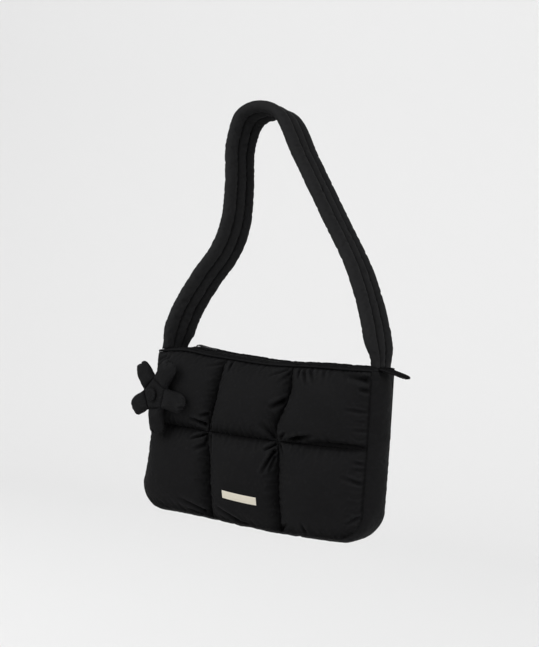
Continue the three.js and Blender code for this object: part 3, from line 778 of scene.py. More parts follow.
def painted_shade_at_edges(plain_x, plain_z):
    """The painted shade along a panel's edges, and a wider band of painted shade along its bottom."""
    by_edge = PAINTED_SHADE_SHARES.edge * bell(panel_edge(plain_x, plain_z), 0, PAINTED_SHADE_SIZES.edge)
    return np.maximum(by_edge, PAINTED_SHADE_SHARES.bottom * bell(plain_z, 0, PAINTED_SHADE_SIZES.bottom))


def painted_shade_at_seams(plain_x, plain_z):
    """The painted shade round the front's quilting seams, wider on the side of each seam that is turned from
    the light.
    """
    offsets = [seam_x(seam, plain_z) - plain_x for seam in UPRIGHTS[1:-1]]
    offsets += [plain_z - level for level in LEVELS[1:-1]]
    seam_shades = [bell(offset, 0, np.where(offset > 0, PAINTED_SHADE_SIZES.hanging, PAINTED_SHADE_SIZES.lying)) for offset in offsets]
    return PAINTED_SHADE_SHARES.seam * np.max(seam_shades, axis=0)


def lapped(plain_x, plain_z):
    """Where a point of a panel's outer face lies: its sides and bottom lap over the gusset a little."""
    x, z = on_panel(plain_x, plain_z)
    return x * (1 + 2 * SEAM_LIP / WIDTH), z - SEAM_LIP * (1 - plain_z / HEIGHT)


def slight_puckers():
    """Short creases across the seams, like those listed."""
    spots = []
    for seam in UPRIGHTS:
        spots += [(seam_x(seam, z), z, 0.0) for z in np.arange(0, HEIGHT, PUCKERS.every)]
    for level in LEVELS:
        spots += [(x, level, math.pi / 2) for x in np.arange(-WIDTH / 2, WIDTH / 2, PUCKERS.every)]
    spans = (PUCKERS.length, PUCKERS.depth, PUCKERS.width)
    creases = []
    for x, z, way in spots:
        slide = draws.uniform(-0.5, 0.5) * PUCKERS.every
        from_x, from_z = x + slide * math.sin(way), z + slide * math.cos(way)
        turn = way + draws.normal(0, PUCKERS.skew) + math.pi * draws.integers(2)
        length, depth, width = (draws.uniform(*span) for span in spans)
        to_x, to_z = from_x + length * math.cos(turn), from_z + length * math.sin(turn)
        creases.append((from_x, from_z, to_x, to_z, depth, width))
    return creases


def creased(grid, flat):
    """The settled front with its creases pressed in between soft ridges, and its painted shade in the
    creases, along the edges and round the quilting seams.
    """
    plain_x, plain_z = flat[..., 0], flat[..., 1]
    pressed = np.zeros_like(plain_x)
    for from_x, from_z, to_x, to_z, depth, width in CREASES + slight_puckers():
        along_x, along_z = to_x - from_x, to_z - from_z
        share = ((plain_x - from_x) * along_x + (plain_z - from_z) * along_z) / (along_x**2 + along_z**2)
        share = np.clip(share, 0, 1)
        distance = np.hypot(plain_x - from_x - share * along_x, plain_z - from_z - share * along_z)
        ridges = CREASE_RIDGE.share * bell(distance, CREASE_RIDGE.out * width, CREASE_RIDGE.spread * width)
        pressed += depth * (1 - share**2) * (bell(distance, 0, width) - ridges)
    pressed *= smooth(panel_edge(plain_x, plain_z) / CREASE_END.edge)
    pressed *= smooth(nearest_seam(plain_x, plain_z) / CREASE_END.seam)
    to_lining = -grid[..., 1] - DEPTH / 2 - QUILT.crown * dome(plain_x, plain_z) + SHELL - RIM
    pressed = np.minimum(pressed, np.maximum(to_lining, 0))
    outward = np.cross(np.gradient(grid, axis=1), np.gradient(grid, axis=0))
    outward /= np.linalg.norm(outward, axis=2, keepdims=True)
    # Painted shade: darker in the creases, along the edges and round the quilting seams
    tucked = np.maximum(pressed, 0) / PAINTED_SHADE_SIZES.crease
    tucked += painted_shade_at_edges(plain_x, plain_z) + painted_shade_at_seams(plain_x, plain_z)
    return grid - outward * pressed[..., None], tucked


def gather_weights(plain_x, plain_z):
    """How much the front's cloth is gathered round the listed places."""
    weights = np.zeros_like(plain_x)
    for x, z, spread, amount in GATHERS:
        weights = np.maximum(weights, amount * bell(np.hypot(plain_x - x, plain_z - z), 0, spread))
    weights[weights < LEAST_GATHER] = 0
    return weights


def front_panel():
    """The front's outer face: its settled points, its painted shade, and its places on flat cloth."""
    columns = cell_steps(len(UPRIGHTS) - 1, QUILT.steps)
    rows = cell_steps(len(LEVELS) - 1, QUILT.steps)
    column, row = np.meshgrid(columns, rows)
    plain_z = np.interp(row, np.arange(len(LEVELS)), LEVELS)
    seams = [seam_x(seam, plain_z) for seam in UPRIGHTS]
    cell = np.minimum(np.floor(column), len(UPRIGHTS) - 2).astype(int)
    left = np.choose(cell, seams[:-1])
    right = np.choose(cell, seams[1:])
    plain_x = left + (right - left) * (column - cell)
    puff = QUILT.puff * pillow(column) * pillow(row)
    rim = RIM - turned_in(panel_edge(plain_x, plain_z))
    x, z = lapped(plain_x, plain_z)
    points = np.stack([x, -DEPTH / 2 - rim - QUILT.crown * dome(plain_x, plain_z) - puff, z], -1)
    sewn = np.zeros_like(plain_x)
    sewn[:: QUILT.steps] = 1
    sewn[:, :: QUILT.steps] = 1
    gathered = gather_weights(plain_x, plain_z)
    settled = refined(stuffed(points, grid_quads(*column.shape)[0], sewn, gathered, FRONT_CLOTH))
    flat = refined(np.stack([plain_x, plain_z], -1))
    return *creased(settled, flat), flat


def front_lining(every):
    """The inner face of the front, with fewer steps."""
    columns = cell_steps(len(UPRIGHTS) - 1, QUILT.steps)[::every]
    rows = cell_steps(len(LEVELS) - 1, QUILT.steps)[::every]
    plain_x, plain_z = np.meshgrid(
        np.interp(columns, np.arange(len(UPRIGHTS)), [(s.bottom + s.top) / 2 for s in UPRIGHTS]),
        np.interp(rows, np.arange(len(LEVELS)), LEVELS),
    )
    x, z = on_panel(plain_x, plain_z)
    stands_out = np.maximum(-RIM, QUILT.crown * dome(plain_x, plain_z) - SHELL)
    return np.stack([x, -DEPTH / 2 - stands_out, z], -1), np.stack([plain_x, plain_z], -1)


LINING_EVERY = 4
front_grid, front_painted_shade, front_flat = front_panel()
lining, lining_flat = front_lining(LINING_EVERY)
front_points, front_faces = two_faced(front_grid, lining, 2 * LINING_EVERY)
front = make_piece(
    "quilted_front",
    front_points,
    front_faces,
    shell_nylon,
    "shell_nylon",
    ["front_panel"],
    flat_places(front_flat, lining_flat),
    FILL.front,
    front_painted_shade,
)


def seam_lines():
    """The quilting seams, along the settled front."""
    steps = 2 * QUILT.steps
    lines = [front_grid[:, k * steps] for k in range(1, len(UPRIGHTS) - 1)]
    lines.append(front_grid[steps])
    return [(line, FORWARD) for line in lines]


make_piece("quilting_stitches", *stitched(seam_lines()), thread, "shell_nylon")


# The plain padded back

BACK_COLUMNS = 81
BACK_ROWS = 57
BACK_EVERY = 4


def padded_back():
    """The back: one plain swell of stuffed cloth with its lining."""
    plain_x, plain_z = np.meshgrid(
        np.linspace(WIDTH / 2, -WIDTH / 2, BACK_COLUMNS),
        np.linspace(0, HEIGHT, BACK_ROWS),
    )
    swell = BACK.crown * dome(plain_x, plain_z) ** BACK.fullness
    rim = RIM - turned_in(panel_edge(plain_x, plain_z))
    x, z = lapped(plain_x, plain_z)
    start = np.stack([x, DEPTH / 2 + rim + BACK.start * swell, z], -1)
    x, z = on_panel(plain_x, plain_z)
    few = np.s_[::BACK_EVERY, ::BACK_EVERY]
    lining = np.stack([x, DEPTH / 2 + np.maximum(-RIM, swell - BACK.padding), z], -1)[few]
    flat = np.stack([plain_x, plain_z], -1)
    edges = held_edges(BACK_ROWS, BACK_COLUMNS)
    settled = stuffed(start, grid_quads(*edges.shape)[0], edges, np.zeros_like(edges), BACK_CLOTH)
    points, faces = two_faced(refined(settled), lining, 2 * BACK_EVERY)
    lining_flat = flat[few]
    flat = refined(flat)
    places = flat_places(flat, lining_flat)
    # Painted shade along the back's edges and bottom
    tucked = painted_shade_at_edges(flat[..., 0], flat[..., 1])
    node = ["back_panel"]
    make_piece("padded_back", points, faces, shell_nylon, "shell_nylon", node, places, FILL.back, tucked)


padded_back()


# The gusset round the sides and the bottom

GUSSET_STATIONS = 181
GUSSET_ACROSS = 25
GUSSET_EVERY = 4
# The share of its bulge that the gusset starts with, and the points in each span of its outline
GUSSET_START = 0.9
SPAN_POINTS = 60


def gusset_face(inset, stations, across):
    """The gusset's outer or inner face, along the outline and from back to front, and its flat cloth."""
    half, block = WIDTH / 2, WIDTH / 2 - CORNER_RADIUS
    corners = np.array([
        (-half, HEIGHT),
        (-half, CORNER_RADIUS),
        (-half, 0),
        (-block, 0),
        (block, 0),
        (half, 0),
        (half, CORNER_RADIUS),
        (half, HEIGHT),
    ])
    spans = [np.linspace(a, b, SPAN_POINTS, endpoint=False) for a, b in zip(corners, corners[1:])]
    plain = np.concatenate([*spans, corners[-1:]])
    line = even_points(np.stack(on_panel(plain[:, 0], plain[:, 1]), -1), stations)
    run = np.gradient(line, axis=0)
    run /= np.linalg.norm(run, axis=1, keepdims=True)
    swell = GUSSET.bulge * (1 - (line[:, 1] / HEIGHT) ** GUSSET.top_curve)
    swell *= 1 - GUSSET.bottom_tuck * run[:, 0] ** 2
    facing_left = smooth(-run[:, 1] / GUSSET_CORNER.turn)
    pushed_out = GUSSET_CORNER.bulge * facing_left * bell(line[:, 1], GUSSET_CORNER.z, GUSSET_CORNER.spread)
    bulge = GUSSET_START * np.where(line[:, 0] < 0, swell + pushed_out, swell)
    edge_y = DEPTH / 2 - RIM - GAP
    depths = edge_y * np.cos(np.linspace(0, math.pi, across))[:, None]
    out = bulge * (1 - (depths / edge_y) ** GUSSET.side_curve) - inset
    x = line[:, 0] + run[:, 1] * out
    z = line[:, 1] - run[:, 0] * out
    along, depths = np.broadcast_arrays(line_lengths(line), depths)
    return np.stack([x, depths, z], -1), np.stack([along, depths], -1)


def gusset_band():
    """The gusset: one band of stuffed cloth with its lining, with painted shade along its edges and in its
    pushed-out left corner.
    """
    start, flat = gusset_face(0, GUSSET_STATIONS, GUSSET_ACROSS)
    edges = held_edges(GUSSET_ACROSS, GUSSET_STATIONS)
    settled = stuffed(start, grid_quads(*edges.shape)[0], edges, np.zeros_like(edges), GUSSET_CLOTH)
    few_stations = (GUSSET_STATIONS - 1) // GUSSET_EVERY + 1
    few_across = (GUSSET_ACROSS - 1) // GUSSET_EVERY + 1
    lining, lining_flat = gusset_face(SHELL, few_stations, few_across)
    fine = refined(settled)
    points, faces = two_faced(fine, lining, 2 * GUSSET_EVERY)
    flat = refined(flat)
    places = flat_places(flat, lining_flat)
    # Painted shade in the pushed-out left corner and along both edges
    from_corner = np.hypot(fine[..., 0] + WIDTH / 2, fine[..., 2] - GUSSET_CORNER.z)
    at_corner = bell(from_corner, 0, GUSSET_CORNER.spread / 2)
    at_edge = bell(flat[..., 1].max() - np.abs(flat[..., 1]), 0, PAINTED_SHADE_SIZES.edge)
    tucked = PAINTED_SHADE_SHARES.edge * at_edge + PAINTED_SHADE_SHARES.corner * at_corner
    node = ["gusset"]
    make_piece("gusset_band", points, faces, shell_nylon, "shell_nylon", node, places, FILL.gusset, tucked)


gusset_band()


# The zipped top

STRIP_STATIONS = 121
STRIP_ACROSS = 17
STRIP_EVERY = 4
# A strip's upper side and its under side, as distances from the zip's middle and heights
STRIP_PROFILE = np.array([
    (30.9, 0.0),
    (31.3, 0.8),
    (30.8, 1.7),
    (28.6, 2.3),
    (24.5, 2.2),
    (19.0, 2.7),
    (14.0, 2.7),
    (9.6, 2.5),
    (7.9, 2.2),
    (7.6, 1.6),
    (7.6, 0.9),
])
STRIP_SOLE = np.array([(30.8, -0.2), (25.0, -0.2), (19.2, -0.2), (13.4, -0.2), (7.7, 0.0)])


def along_top(x, y, up):
    """Points on the zipped top, from places along and across it and heights above the sewn edge."""
    return np.stack([x, y, top_edge(x) + GAP + up], -1)


def top_strip(name, side, node):
    """One of the two strips between a panel and the zip, with a soft roll at its outer edge."""
    profile = even_points(smooth_line(STRIP_PROFILE), STRIP_ACROSS)
    sole = STRIP_SOLE
    if side > 0:
        profile, sole = profile[::-1], sole[::-1]
    x, across = np.meshgrid(np.linspace(-WIDTH / 2, WIDTH / 2, STRIP_STATIONS), np.arange(STRIP_ACROSS))
    start = along_top(x, side * profile[across, 0], profile[across, 1])
    sewn = held_edges(STRIP_ACROSS, STRIP_STATIONS)
    stitch_row = int(np.abs(profile[:, 0] - TOP_STRIP.stitch_y).argmin())
    sewn[stitch_row] = 1
    settled = refined(stuffed(start, grid_quads(*x.shape)[0], sewn, np.zeros_like(sewn), STRIP_CLOTH))
    few_x, few = np.meshgrid(x[0, ::STRIP_EVERY], np.arange(len(sole)))
    under = along_top(few_x, side * sole[few, 0], sole[few, 1])
    points, faces = two_faced(settled, under, 2 * STRIP_EVERY)
    # Painted shade along the sewn edge and beside the row of stitches
    by_seam = bell(profile[across, 1], 0, PAINTED_SHADE_SIZES.edge)
    by_stitches = bell(profile[across, 0], TOP_STRIP.stitch_y, PAINTED_SHADE_SIZES.stitches)
    tucked = refined(np.maximum(by_seam, by_stitches))
    flat = points[:, :2]
    make_piece(name, points, faces, binding_nylon, "shell_nylon", [node], flat, FILL.strip, tucked)
    return settled[2 * stitch_row]


strip_seams = [top_strip("front_strip", -1, "top_strip_front"), top_strip("back_strip", 1, "top_strip_back")]
make_piece("strip_stitches", *stitched([(seam, UPWARD) for seam in strip_seams]), thread, "shell_nylon")


TAPE_ACROSS = 13
TAPE_EVERY = 4
# The dips beside the coil: how deep they are, how far out from it, and how wide
TAPE_DIP = Sizes(depth=0.25, out=1.2, spread=1.0)


def zip_tape():
    """The woven tape under the coil, with a slight dip on both sides of it."""
    along = np.linspace(-WIDTH / 2, WIDTH / 2, STRIP_STATIONS)
    x, y = np.meshgrid(along, np.linspace(-1, 1, TAPE_ACROSS) * ZIP.half_width)
    dips = TAPE_DIP.depth * bell(np.abs(y), ZIP.coil_half_width + TAPE_DIP.out, TAPE_DIP.spread)
    upper = along_top(x, y, ZIP.level + (ZIP.tape - dips))
    few = np.s_[::TAPE_EVERY, ::TAPE_EVERY]
    lower = along_top(x[few], y[few], np.full_like(x[few], ZIP.level))
    points, faces = two_faced(upper, lower, TAPE_EVERY)
    make_piece("woven_zip_tape", points, faces, tape_weave, "zip_tape", ["zip_tape"], points[:, :2])


zip_tape()

# The teeth: how far apart those of one side are, their radius, the points along one, and its line along x,
# y and up
TOOTH_PITCH = 1.5
TOOTH_RADIUS = 0.3
TOOTH_POINTS = 9
TOOTH = np.array([
    (0.0, 2.7, 0.0),
    (0.0, 2.5, 0.15),
    (0.0, 1.6, 0.3),
    (0.0, 0.3, 0.3),
    (0.15, -0.7, 0.2),
    (0.3, -0.9, 0.05),
])


def zip_teeth():
    """The coil: bent teeth from each side that hook into each other along the middle of the tape."""
    foot = ZIP.level + ZIP.tape + GAP
    from_x, to_x = SLIDER.x + SLIDER.length, WIDTH / 2 - ZIP.end_stop
    tooth = even_points(smooth_line(TOOTH, per_span=8), TOOTH_POINTS)
    bodies = []
    for k, x in enumerate(np.arange(from_x, to_x, TOOTH_PITCH / 2)):
        side = 1 if k % 2 else -1
        middle = along_top(x + side * tooth[:, 0], side * tooth[:, 1], foot + tooth[:, 2])
        bodies.append(tube(wire(middle, (1.0, 0.0, 0.0), TOOTH_RADIUS)))
    make_piece("zip_teeth", *joined(bodies), coil_plastic, "zip_coil", ["zip_coil"])


zip_teeth()


# The slider's rings from its wide end to its narrow end: shares of its length, half width and height
SLIDER_RINGS = [
    (0.0, 0.8, 0.45),
    (0.03, 0.95, 0.6),
    (0.12, 1.0, 0.68),
    (0.35, 0.94, 0.7),
    (0.6, 0.8, 0.68),
    (0.85, 0.72, 0.62),
    (0.97, 0.68, 0.56),
    (1.0, 0.58, 0.4),
]
SLIDER_SOLE = 0.2
SLIDER_BLUNT = 0.45
# The bridge on the slider: shares of the slider's length and height, its radius and its steps
BRIDGE = Sizes(half_length=0.32, foot=0.55, rise=0.62, radius=0.75, steps=13, sides=8)
# The pull: the share of the slider's length where it begins, its half width to the middle of its wire, the
# wire's half width, how high it lies over the slider, and how much lower at its far end on the coil
PULL = Sizes(start=0.62, half_width=3.1, wire=0.9, lift=0.75, drop=4.5, steps=48)
PULL_BLUNT = Sizes(ends=0.5, sides=0.7)
# The section of the pull's wire: shares of its half width, and heights
PULL_SECTION = [
    (1, -0.55),
    (1, 0.55),
    (0.5, 0.75),
    (-0.5, 0.75),
    (-1, 0.55),
    (-1, -0.55),
    (-0.5, -0.75),
    (0.5, -0.75),
]


def blunted(wave, power):
    """A wave between -1 and 1 with fuller ends."""
    return np.sign(wave) * np.abs(wave) ** power


def rounded_ring(half_width, low, high, sides=24):
    """A flat-sided rounded outline of y and height."""
    turn = np.linspace(0, 2 * math.pi, sides, endpoint=False) - math.pi / 2 + math.pi / sides
    y = half_width * blunted(np.cos(turn), SLIDER_BLUNT)
    up = blunted(np.sin(turn), SLIDER_BLUNT)
    return np.stack([y, (low + high) / 2 + (high - low) / 2 * up], -1)


def slider_shell(base):
    """The slider's body, wide where the open zip goes in and narrow at its other end."""
    rings = []
    for share, width, top in SLIDER_RINGS:
        ring = rounded_ring(width * SLIDER.half_width, SLIDER_SOLE, top * SLIDER.height)
        x = np.full(len(ring), SLIDER.x + share * SLIDER.length)
        rings.append(np.stack([x, ring[:, 0], base + ring[:, 1]], -1))
    return tube(np.array(rings))


def slider_bridge(base):
    """The arch on the slider that holds its pull."""
    arch = np.linspace(0, math.pi, BRIDGE.steps)
    line = np.stack([
        SLIDER.x + SLIDER.length * (0.5 - BRIDGE.half_length * np.cos(arch)),
        np.zeros(BRIDGE.steps),
        base + SLIDER.height * (BRIDGE.foot + BRIDGE.rise * np.sin(arch)),
    ], -1)
    return tube(wire(line, (0.0, 1.0, 0.0), BRIDGE.radius, BRIDGE.sides))


def slider_pull(base):
    """A flat ring that lies back along the zip and slopes down onto the coil."""
    loop = np.linspace(0, 2 * math.pi, PULL.steps, endpoint=False)
    start = SLIDER.x + PULL.start * SLIDER.length
    level = base + SLIDER.height + PULL.lift
    rings = []
    for x, y in zip(blunted(np.cos(loop), PULL_BLUNT.ends), blunted(np.sin(loop), PULL_BLUNT.sides)):
        share = (1 + x) / 2
        middle = np.array((start + SLIDER.pull * share, PULL.half_width * y, level - PULL.drop * share))
        inward = np.array((-x * PULL.wire, -y * PULL.wire, 0))
        rings.append([middle + inward * across + (0, 0, up) for across, up in PULL_SECTION])
    return hoop(np.array(rings))


def zip_slider():
    """The slider's body, the bridge on it, and its pull, in one piece."""
    base = top_edge(SLIDER.x) + ZIP.level + ZIP.tape + 3 * GAP
    points, faces = joined([slider_shell(base), slider_bridge(base), slider_pull(base)])
    make_piece("zip_slider_and_pull", points, faces, black_metal, "zip_metal", ["zip_slider"])


zip_slider()

# The tab's rings and the points round each, and how much closer the rings are towards its tip
TAB_RINGS = Sizes(count=49, around=48, crowding=1.4)
# How blunt the tab's edges are, and how far, where and how widely its stitches press it
TAB_EDGE = Sizes(blunt=0.55, press=0.3, at=0.76, spread=0.09)
# How much narrower and thinner the tab is at its tip
TAB_TIP = Sizes(narrower=0.97, thinnest=0.08)
# The stitches round the tab: the rings left out at both ends, and the points of a ring that they follow
# to the tip and back, on its upper side and on its under side
TAB_STITCHES = Sizes(left_out=3, upper=(7, 17), under=(41, 31))


def zip_tab():
    """The folded cloth tab that closes the zip's end, pressed thinner along its stitched edge."""
    shares = 1 - (1 - np.linspace(0, 1, TAB_RINGS.count)) ** TAB_RINGS.crowding
    turn = np.linspace(0, 2 * math.pi, TAB_RINGS.around, endpoint=False)
    across = -np.cos(turn)
    side = blunted(np.sin(turn), TAB_EDGE.blunt)
    pressed = 1 - TAB_EDGE.press * bell(np.abs(across), TAB_EDGE.at, TAB_EDGE.spread)
    along = shares * TAB.length
    from_tip = np.clip(along - (TAB.length - TAB.tip), 0, None) / TAB.tip
    half = TAB.half_width * np.sqrt(1 - TAB_TIP.narrower * from_tip**2)
    flat_tip = np.sqrt(np.clip(1 - from_tip**4, TAB_TIP.thinnest, 1))
    level = HEIGHT + GAP + ZIP.level + ZIP.tape / 2 - TAB.droop * shares**TAB.droop_curve
    y = half[:, None] * across[None]
    x = np.broadcast_to((WIDTH / 2 + GAP + along)[:, None], y.shape)
    z = level[:, None] + TAB.thickness / 2 * flat_tip[:, None] * (side * pressed)[None]
    rings = np.stack([x, y, z], -1)
    points, faces = tube(rings)
    flat = points[:, :2]
    make_piece("folded_zip_tab", points, faces, binding_nylon, "shell_nylon", ["zip_end_tab"], flat, FILL.tab)
    sewn_rings = rings[TAB_STITCHES.left_out : -TAB_STITCHES.left_out]
    lines = []
    for facing, (there, back) in ((UPWARD, TAB_STITCHES.upper), (DOWNWARD, TAB_STITCHES.under)):
        lines.append((np.concatenate([sewn_rings[:, there], sewn_rings[::-1, back]]), facing))
    make_piece("tab_stitches", *stitched(lines), thread, "shell_nylon")


zip_tab()


# The padded strap

STRAP_STATIONS = 241
CHANNEL_STEPS = 8
# The heights of a channel's crown and of the grooves, as shares of half the strap's thickness, and how
# roundly a channel rises
STRAP_FACE = Sizes(crown=0.93, groove=0.14, rise=0.5)
# How high the strap's feet are over the strips
STRAP_SEAT = 0.6
# How much the strap is gathered at its feet and for its tuck, and how far along and across a pucker reaches
STRAP_GATHER = Sizes(foot=0.5, tuck=2)
STRAP_PUCKER = Sizes(length=9, width=0.35)
# Where the strap's edges are puckered: the length along it, the edge that it is on, and how much
STRAP_PUCKERS = [
    (60.0, 1, 0.5),
    (135.0, -1, 0.5),
    (190.0, 1, 0.4),
    (262.0, -1, 0.5),
    (418.0, 1, 0.6),
    (450.0, -1, 0.4),
    (480.0, 1, 0.6),
    (566.0, 1, 0.7),
    (600.0, -1, 0.5),
]


def strap_ring():
    """The strap's cross-section: shares of its half width and half thickness, and where it is sewn down."""
    width_shares, thickness_shares, sewn = [], [], []
    turns = np.linspace(0, math.pi, CHANNEL_STEPS + 1)
    for channel in range(STRAP.channels):
        middle = (2 * channel + 1) / STRAP.channels - 1
        edges = (channel, channel + 1)
        seam_levels = [STRAP_FACE.groove if 0 < edge < STRAP.channels else 0.0 for edge in edges]
        for k, turn in enumerate(turns):
            if channel and not k:
                continue
            share = (1 - math.cos(turn)) / 2
            level = seam_levels[0] * (1 - share) + seam_levels[1] * share
            width_shares.append(middle - math.cos(turn) / STRAP.channels)
            thickness_shares.append(level + (STRAP_FACE.crown - level) * math.sin(turn) ** STRAP_FACE.rise)
            sewn.append(k in (0, CHANNEL_STEPS))
    face = np.array(width_shares)
    thick = np.array(thickness_shares)
    held = np.array(sewn)
    return (
        np.concatenate([face, face[-2:0:-1]]),
        np.concatenate([-thick, thick[-2:0:-1]]),
        np.concatenate([held, held[-2:0:-1]]),
    )


def strap_frames():
    """The strap's middle points, width and outward directions, how full it is, and the lengths along it."""
    route = STRAP_ROUTE + (0, 0, STRAP_FOOT)
    line = even_points(smooth_line(route), STRAP_STATIONS)
    run = np.gradient(line, axis=0)
    run /= np.linalg.norm(run, axis=1, keepdims=True)
    run[0], run[-1] = (0, 0, 1), (0, 0, -1)
    lengths = line_lengths(line)
    near_end = np.minimum(lengths, lengths[-1] - lengths)
    full = smooth(near_end / STRAP_END.length)[:, None]
    twist = math.radians(STRAP.twist)
    lean = math.atan2(STRAP_TOP[1], STRAP_TOP[2] - STRAP_FOOT)
    hung = np.array((math.sin(twist), math.cos(twist) * math.cos(lean), -math.sin(lean)))
    width = (0, 1, 0) * (1 - full) + hung / np.linalg.norm(hung) * full
    width = width - run * (width * run).sum(1, keepdims=True)
    width /= np.linalg.norm(width, axis=1, keepdims=True)
    return line, width, np.cross(run, width), full[:, 0], lengths


def padded_strap():
    """The strap: a tube of stuffed cloth sewn down along its channels, tucked in at its right foot."""
    line, width, outward, full, lengths = strap_frames()
    width_shares, thickness_shares, held = strap_ring()
    half_width = STRAP.width / 2 * (STRAP_END.width * (1 - full) + full)
    half_thickness = STRAP.thickness / 2 * (STRAP_END.thickness * (1 - full) + full)
    foot_tuck = STRAP_TUCK.share * (1 - smooth((lengths[-1] - lengths) / STRAP_TUCK.length))[:, None]
    aside = half_width[:, None] * width_shares * np.where(width_shares < 0, 1 - foot_tuck, 1)
    start = line[:, None]
    start = start + width[:, None] * aside[..., None]
    start = start + outward[:, None] * (half_thickness[:, None] * thickness_shares)[..., None]
    for end in (0, -1):
        start[end, :, 2] = top_edge(start[end, :, 0]) + TOP_STRIP.height + STRAP_SEAT
    stations, around = start.shape[:2]
    sewn = np.tile(held.astype(float), (stations, 1))
    sewn[[0, -1]] = 1
    at_feet = STRAP_GATHER.foot * (1 - full)[:, None]
    gathered = at_feet + STRAP_GATHER.tuck * foot_tuck * (width_shares < -1 / STRAP.channels)
    for at, side, amount in STRAP_PUCKERS:
        near_edge = bell(width_shares, side, STRAP_PUCKER.width)
        near_place = bell(lengths, at, STRAP_PUCKER.length)[:, None]
        gathered = np.maximum(gathered, amount * near_place * near_edge)
    gathered = np.clip(gathered, 0, 1)
    gathered[gathered < LEAST_GATHER] = 0
    settled = stuffed(start, grid_quads(stations, around, True)[0], sewn, gathered, STRAP_CLOTH)
    fine = refined(settled, True)
    points, faces = tube(fine)
    girth = np.linspace(0, 2 * STRAP.width, 2 * around, endpoint=False)
    fine_lengths = np.interp(np.linspace(0, stations - 1, 2 * stations - 1), np.arange(stations), lengths)
    places = np.stack(np.meshgrid(girth, fine_lengths), -1).reshape(-1, 2)
    # Painted shade in the grooves between the channels
    from_groove = STRAP.width / 2 * (np.abs(width_shares) - 1 / STRAP.channels)
    tucked = refined(np.tile(PAINTED_SHADE_SHARES.strap * bell(from_groove, 0, PAINTED_SHADE_SIZES.edge), (stations, 1)), True)
    node = ["strap"]
    make_piece("padded_strap", points, faces, strap_nylon, "strap_nylon", node, places, FILL.strap, tucked)
    fine_outward = refined(np.repeat(outward[:, None], 2, 1))[:, 0]
    lines = []
    for k in range(1, STRAP.channels):
        inner = 2 * k * CHANNEL_STEPS
        lines.append((fine[:, inner], -fine_outward))
        lines.append((fine[:, 2 * around - inner], fine_outward))
    make_piece("strap_stitches", *stitched(lines, lift=-0.15), thread, "strap_nylon")


padded_strap()


# The stuffed flower

# The points round the flower, and the steps from its middle to its seam and on to its outline
FLOWER_SPOKES = 160
FLOWER_INNER = 5
FLOWER_OUTER = 13
# The share of a petal's half width that belongs to its round end, and the least sine that is divided by
PETAL_END = Sizes(share=0.98, least=1e-6)
# The flower's faces: the share of its middle that the button covers, and as shares of half its thickness, how
# high its seam lies, how much its middle rises above that and how much its petals puff
FLOWER_FACE = Sizes(covered=0.25, seam=0.45, rise=0.4, puff=0.5)
# The share of a whole petal's length that puffs fully, and how much the shortest part puffs
FLOWER_PLUMP = Sizes(full=0.5, least=0.15)
# The most of the flower's reach that its seam takes up
FLOWER_SEAM_REACH = 0.9


def flower_reach(angle):
    """The distances from the flower's middle to its outline, with round-ended petals that meet in rounded
    notches, and to the seam round its middle."""
    step = 2 * math.pi / FLOWER.petals
    from_petal = np.abs((angle + step / 2) % step - step / 2)
    tip = FLOWER.reach - FLOWER.petal_radius
    beside = np.minimum(tip * np.sin(from_petal), FLOWER.petal_radius)
    on_tip = tip * np.cos(from_petal) + np.sqrt(FLOWER.petal_radius**2 - beside**2)
    between = FLOWER.petal_radius / np.maximum(np.sin(from_petal), PETAL_END.least)
    reach = np.where(beside < PETAL_END.share * FLOWER.petal_radius, on_tip, between)
    power = FLOWER_BODY.notch_roundness
    reach = (reach**power + FLOWER_BODY.notch_radius**power) ** (1 / power)
    return reach, np.minimum(FLOWER_BODY.seam / np.cos(from_petal), FLOWER_SEAM_REACH * reach)


def in_bag(local):
    """Points of the flower's own frame, x right, y up and z out of its face, in the bag's frame."""
    turn = Matrix.Rotation(math.pi / 2, 3, "X")
    turn = turn @ Matrix.Rotation(math.radians(-FLOWER.turn), 3, "Y")
    turn = turn @ Matrix.Rotation(math.radians(FLOWER.roll), 3, "Z")
    return local @ np.array(turn).T + (FLOWER.x, FLOWER.y, FLOWER.z)


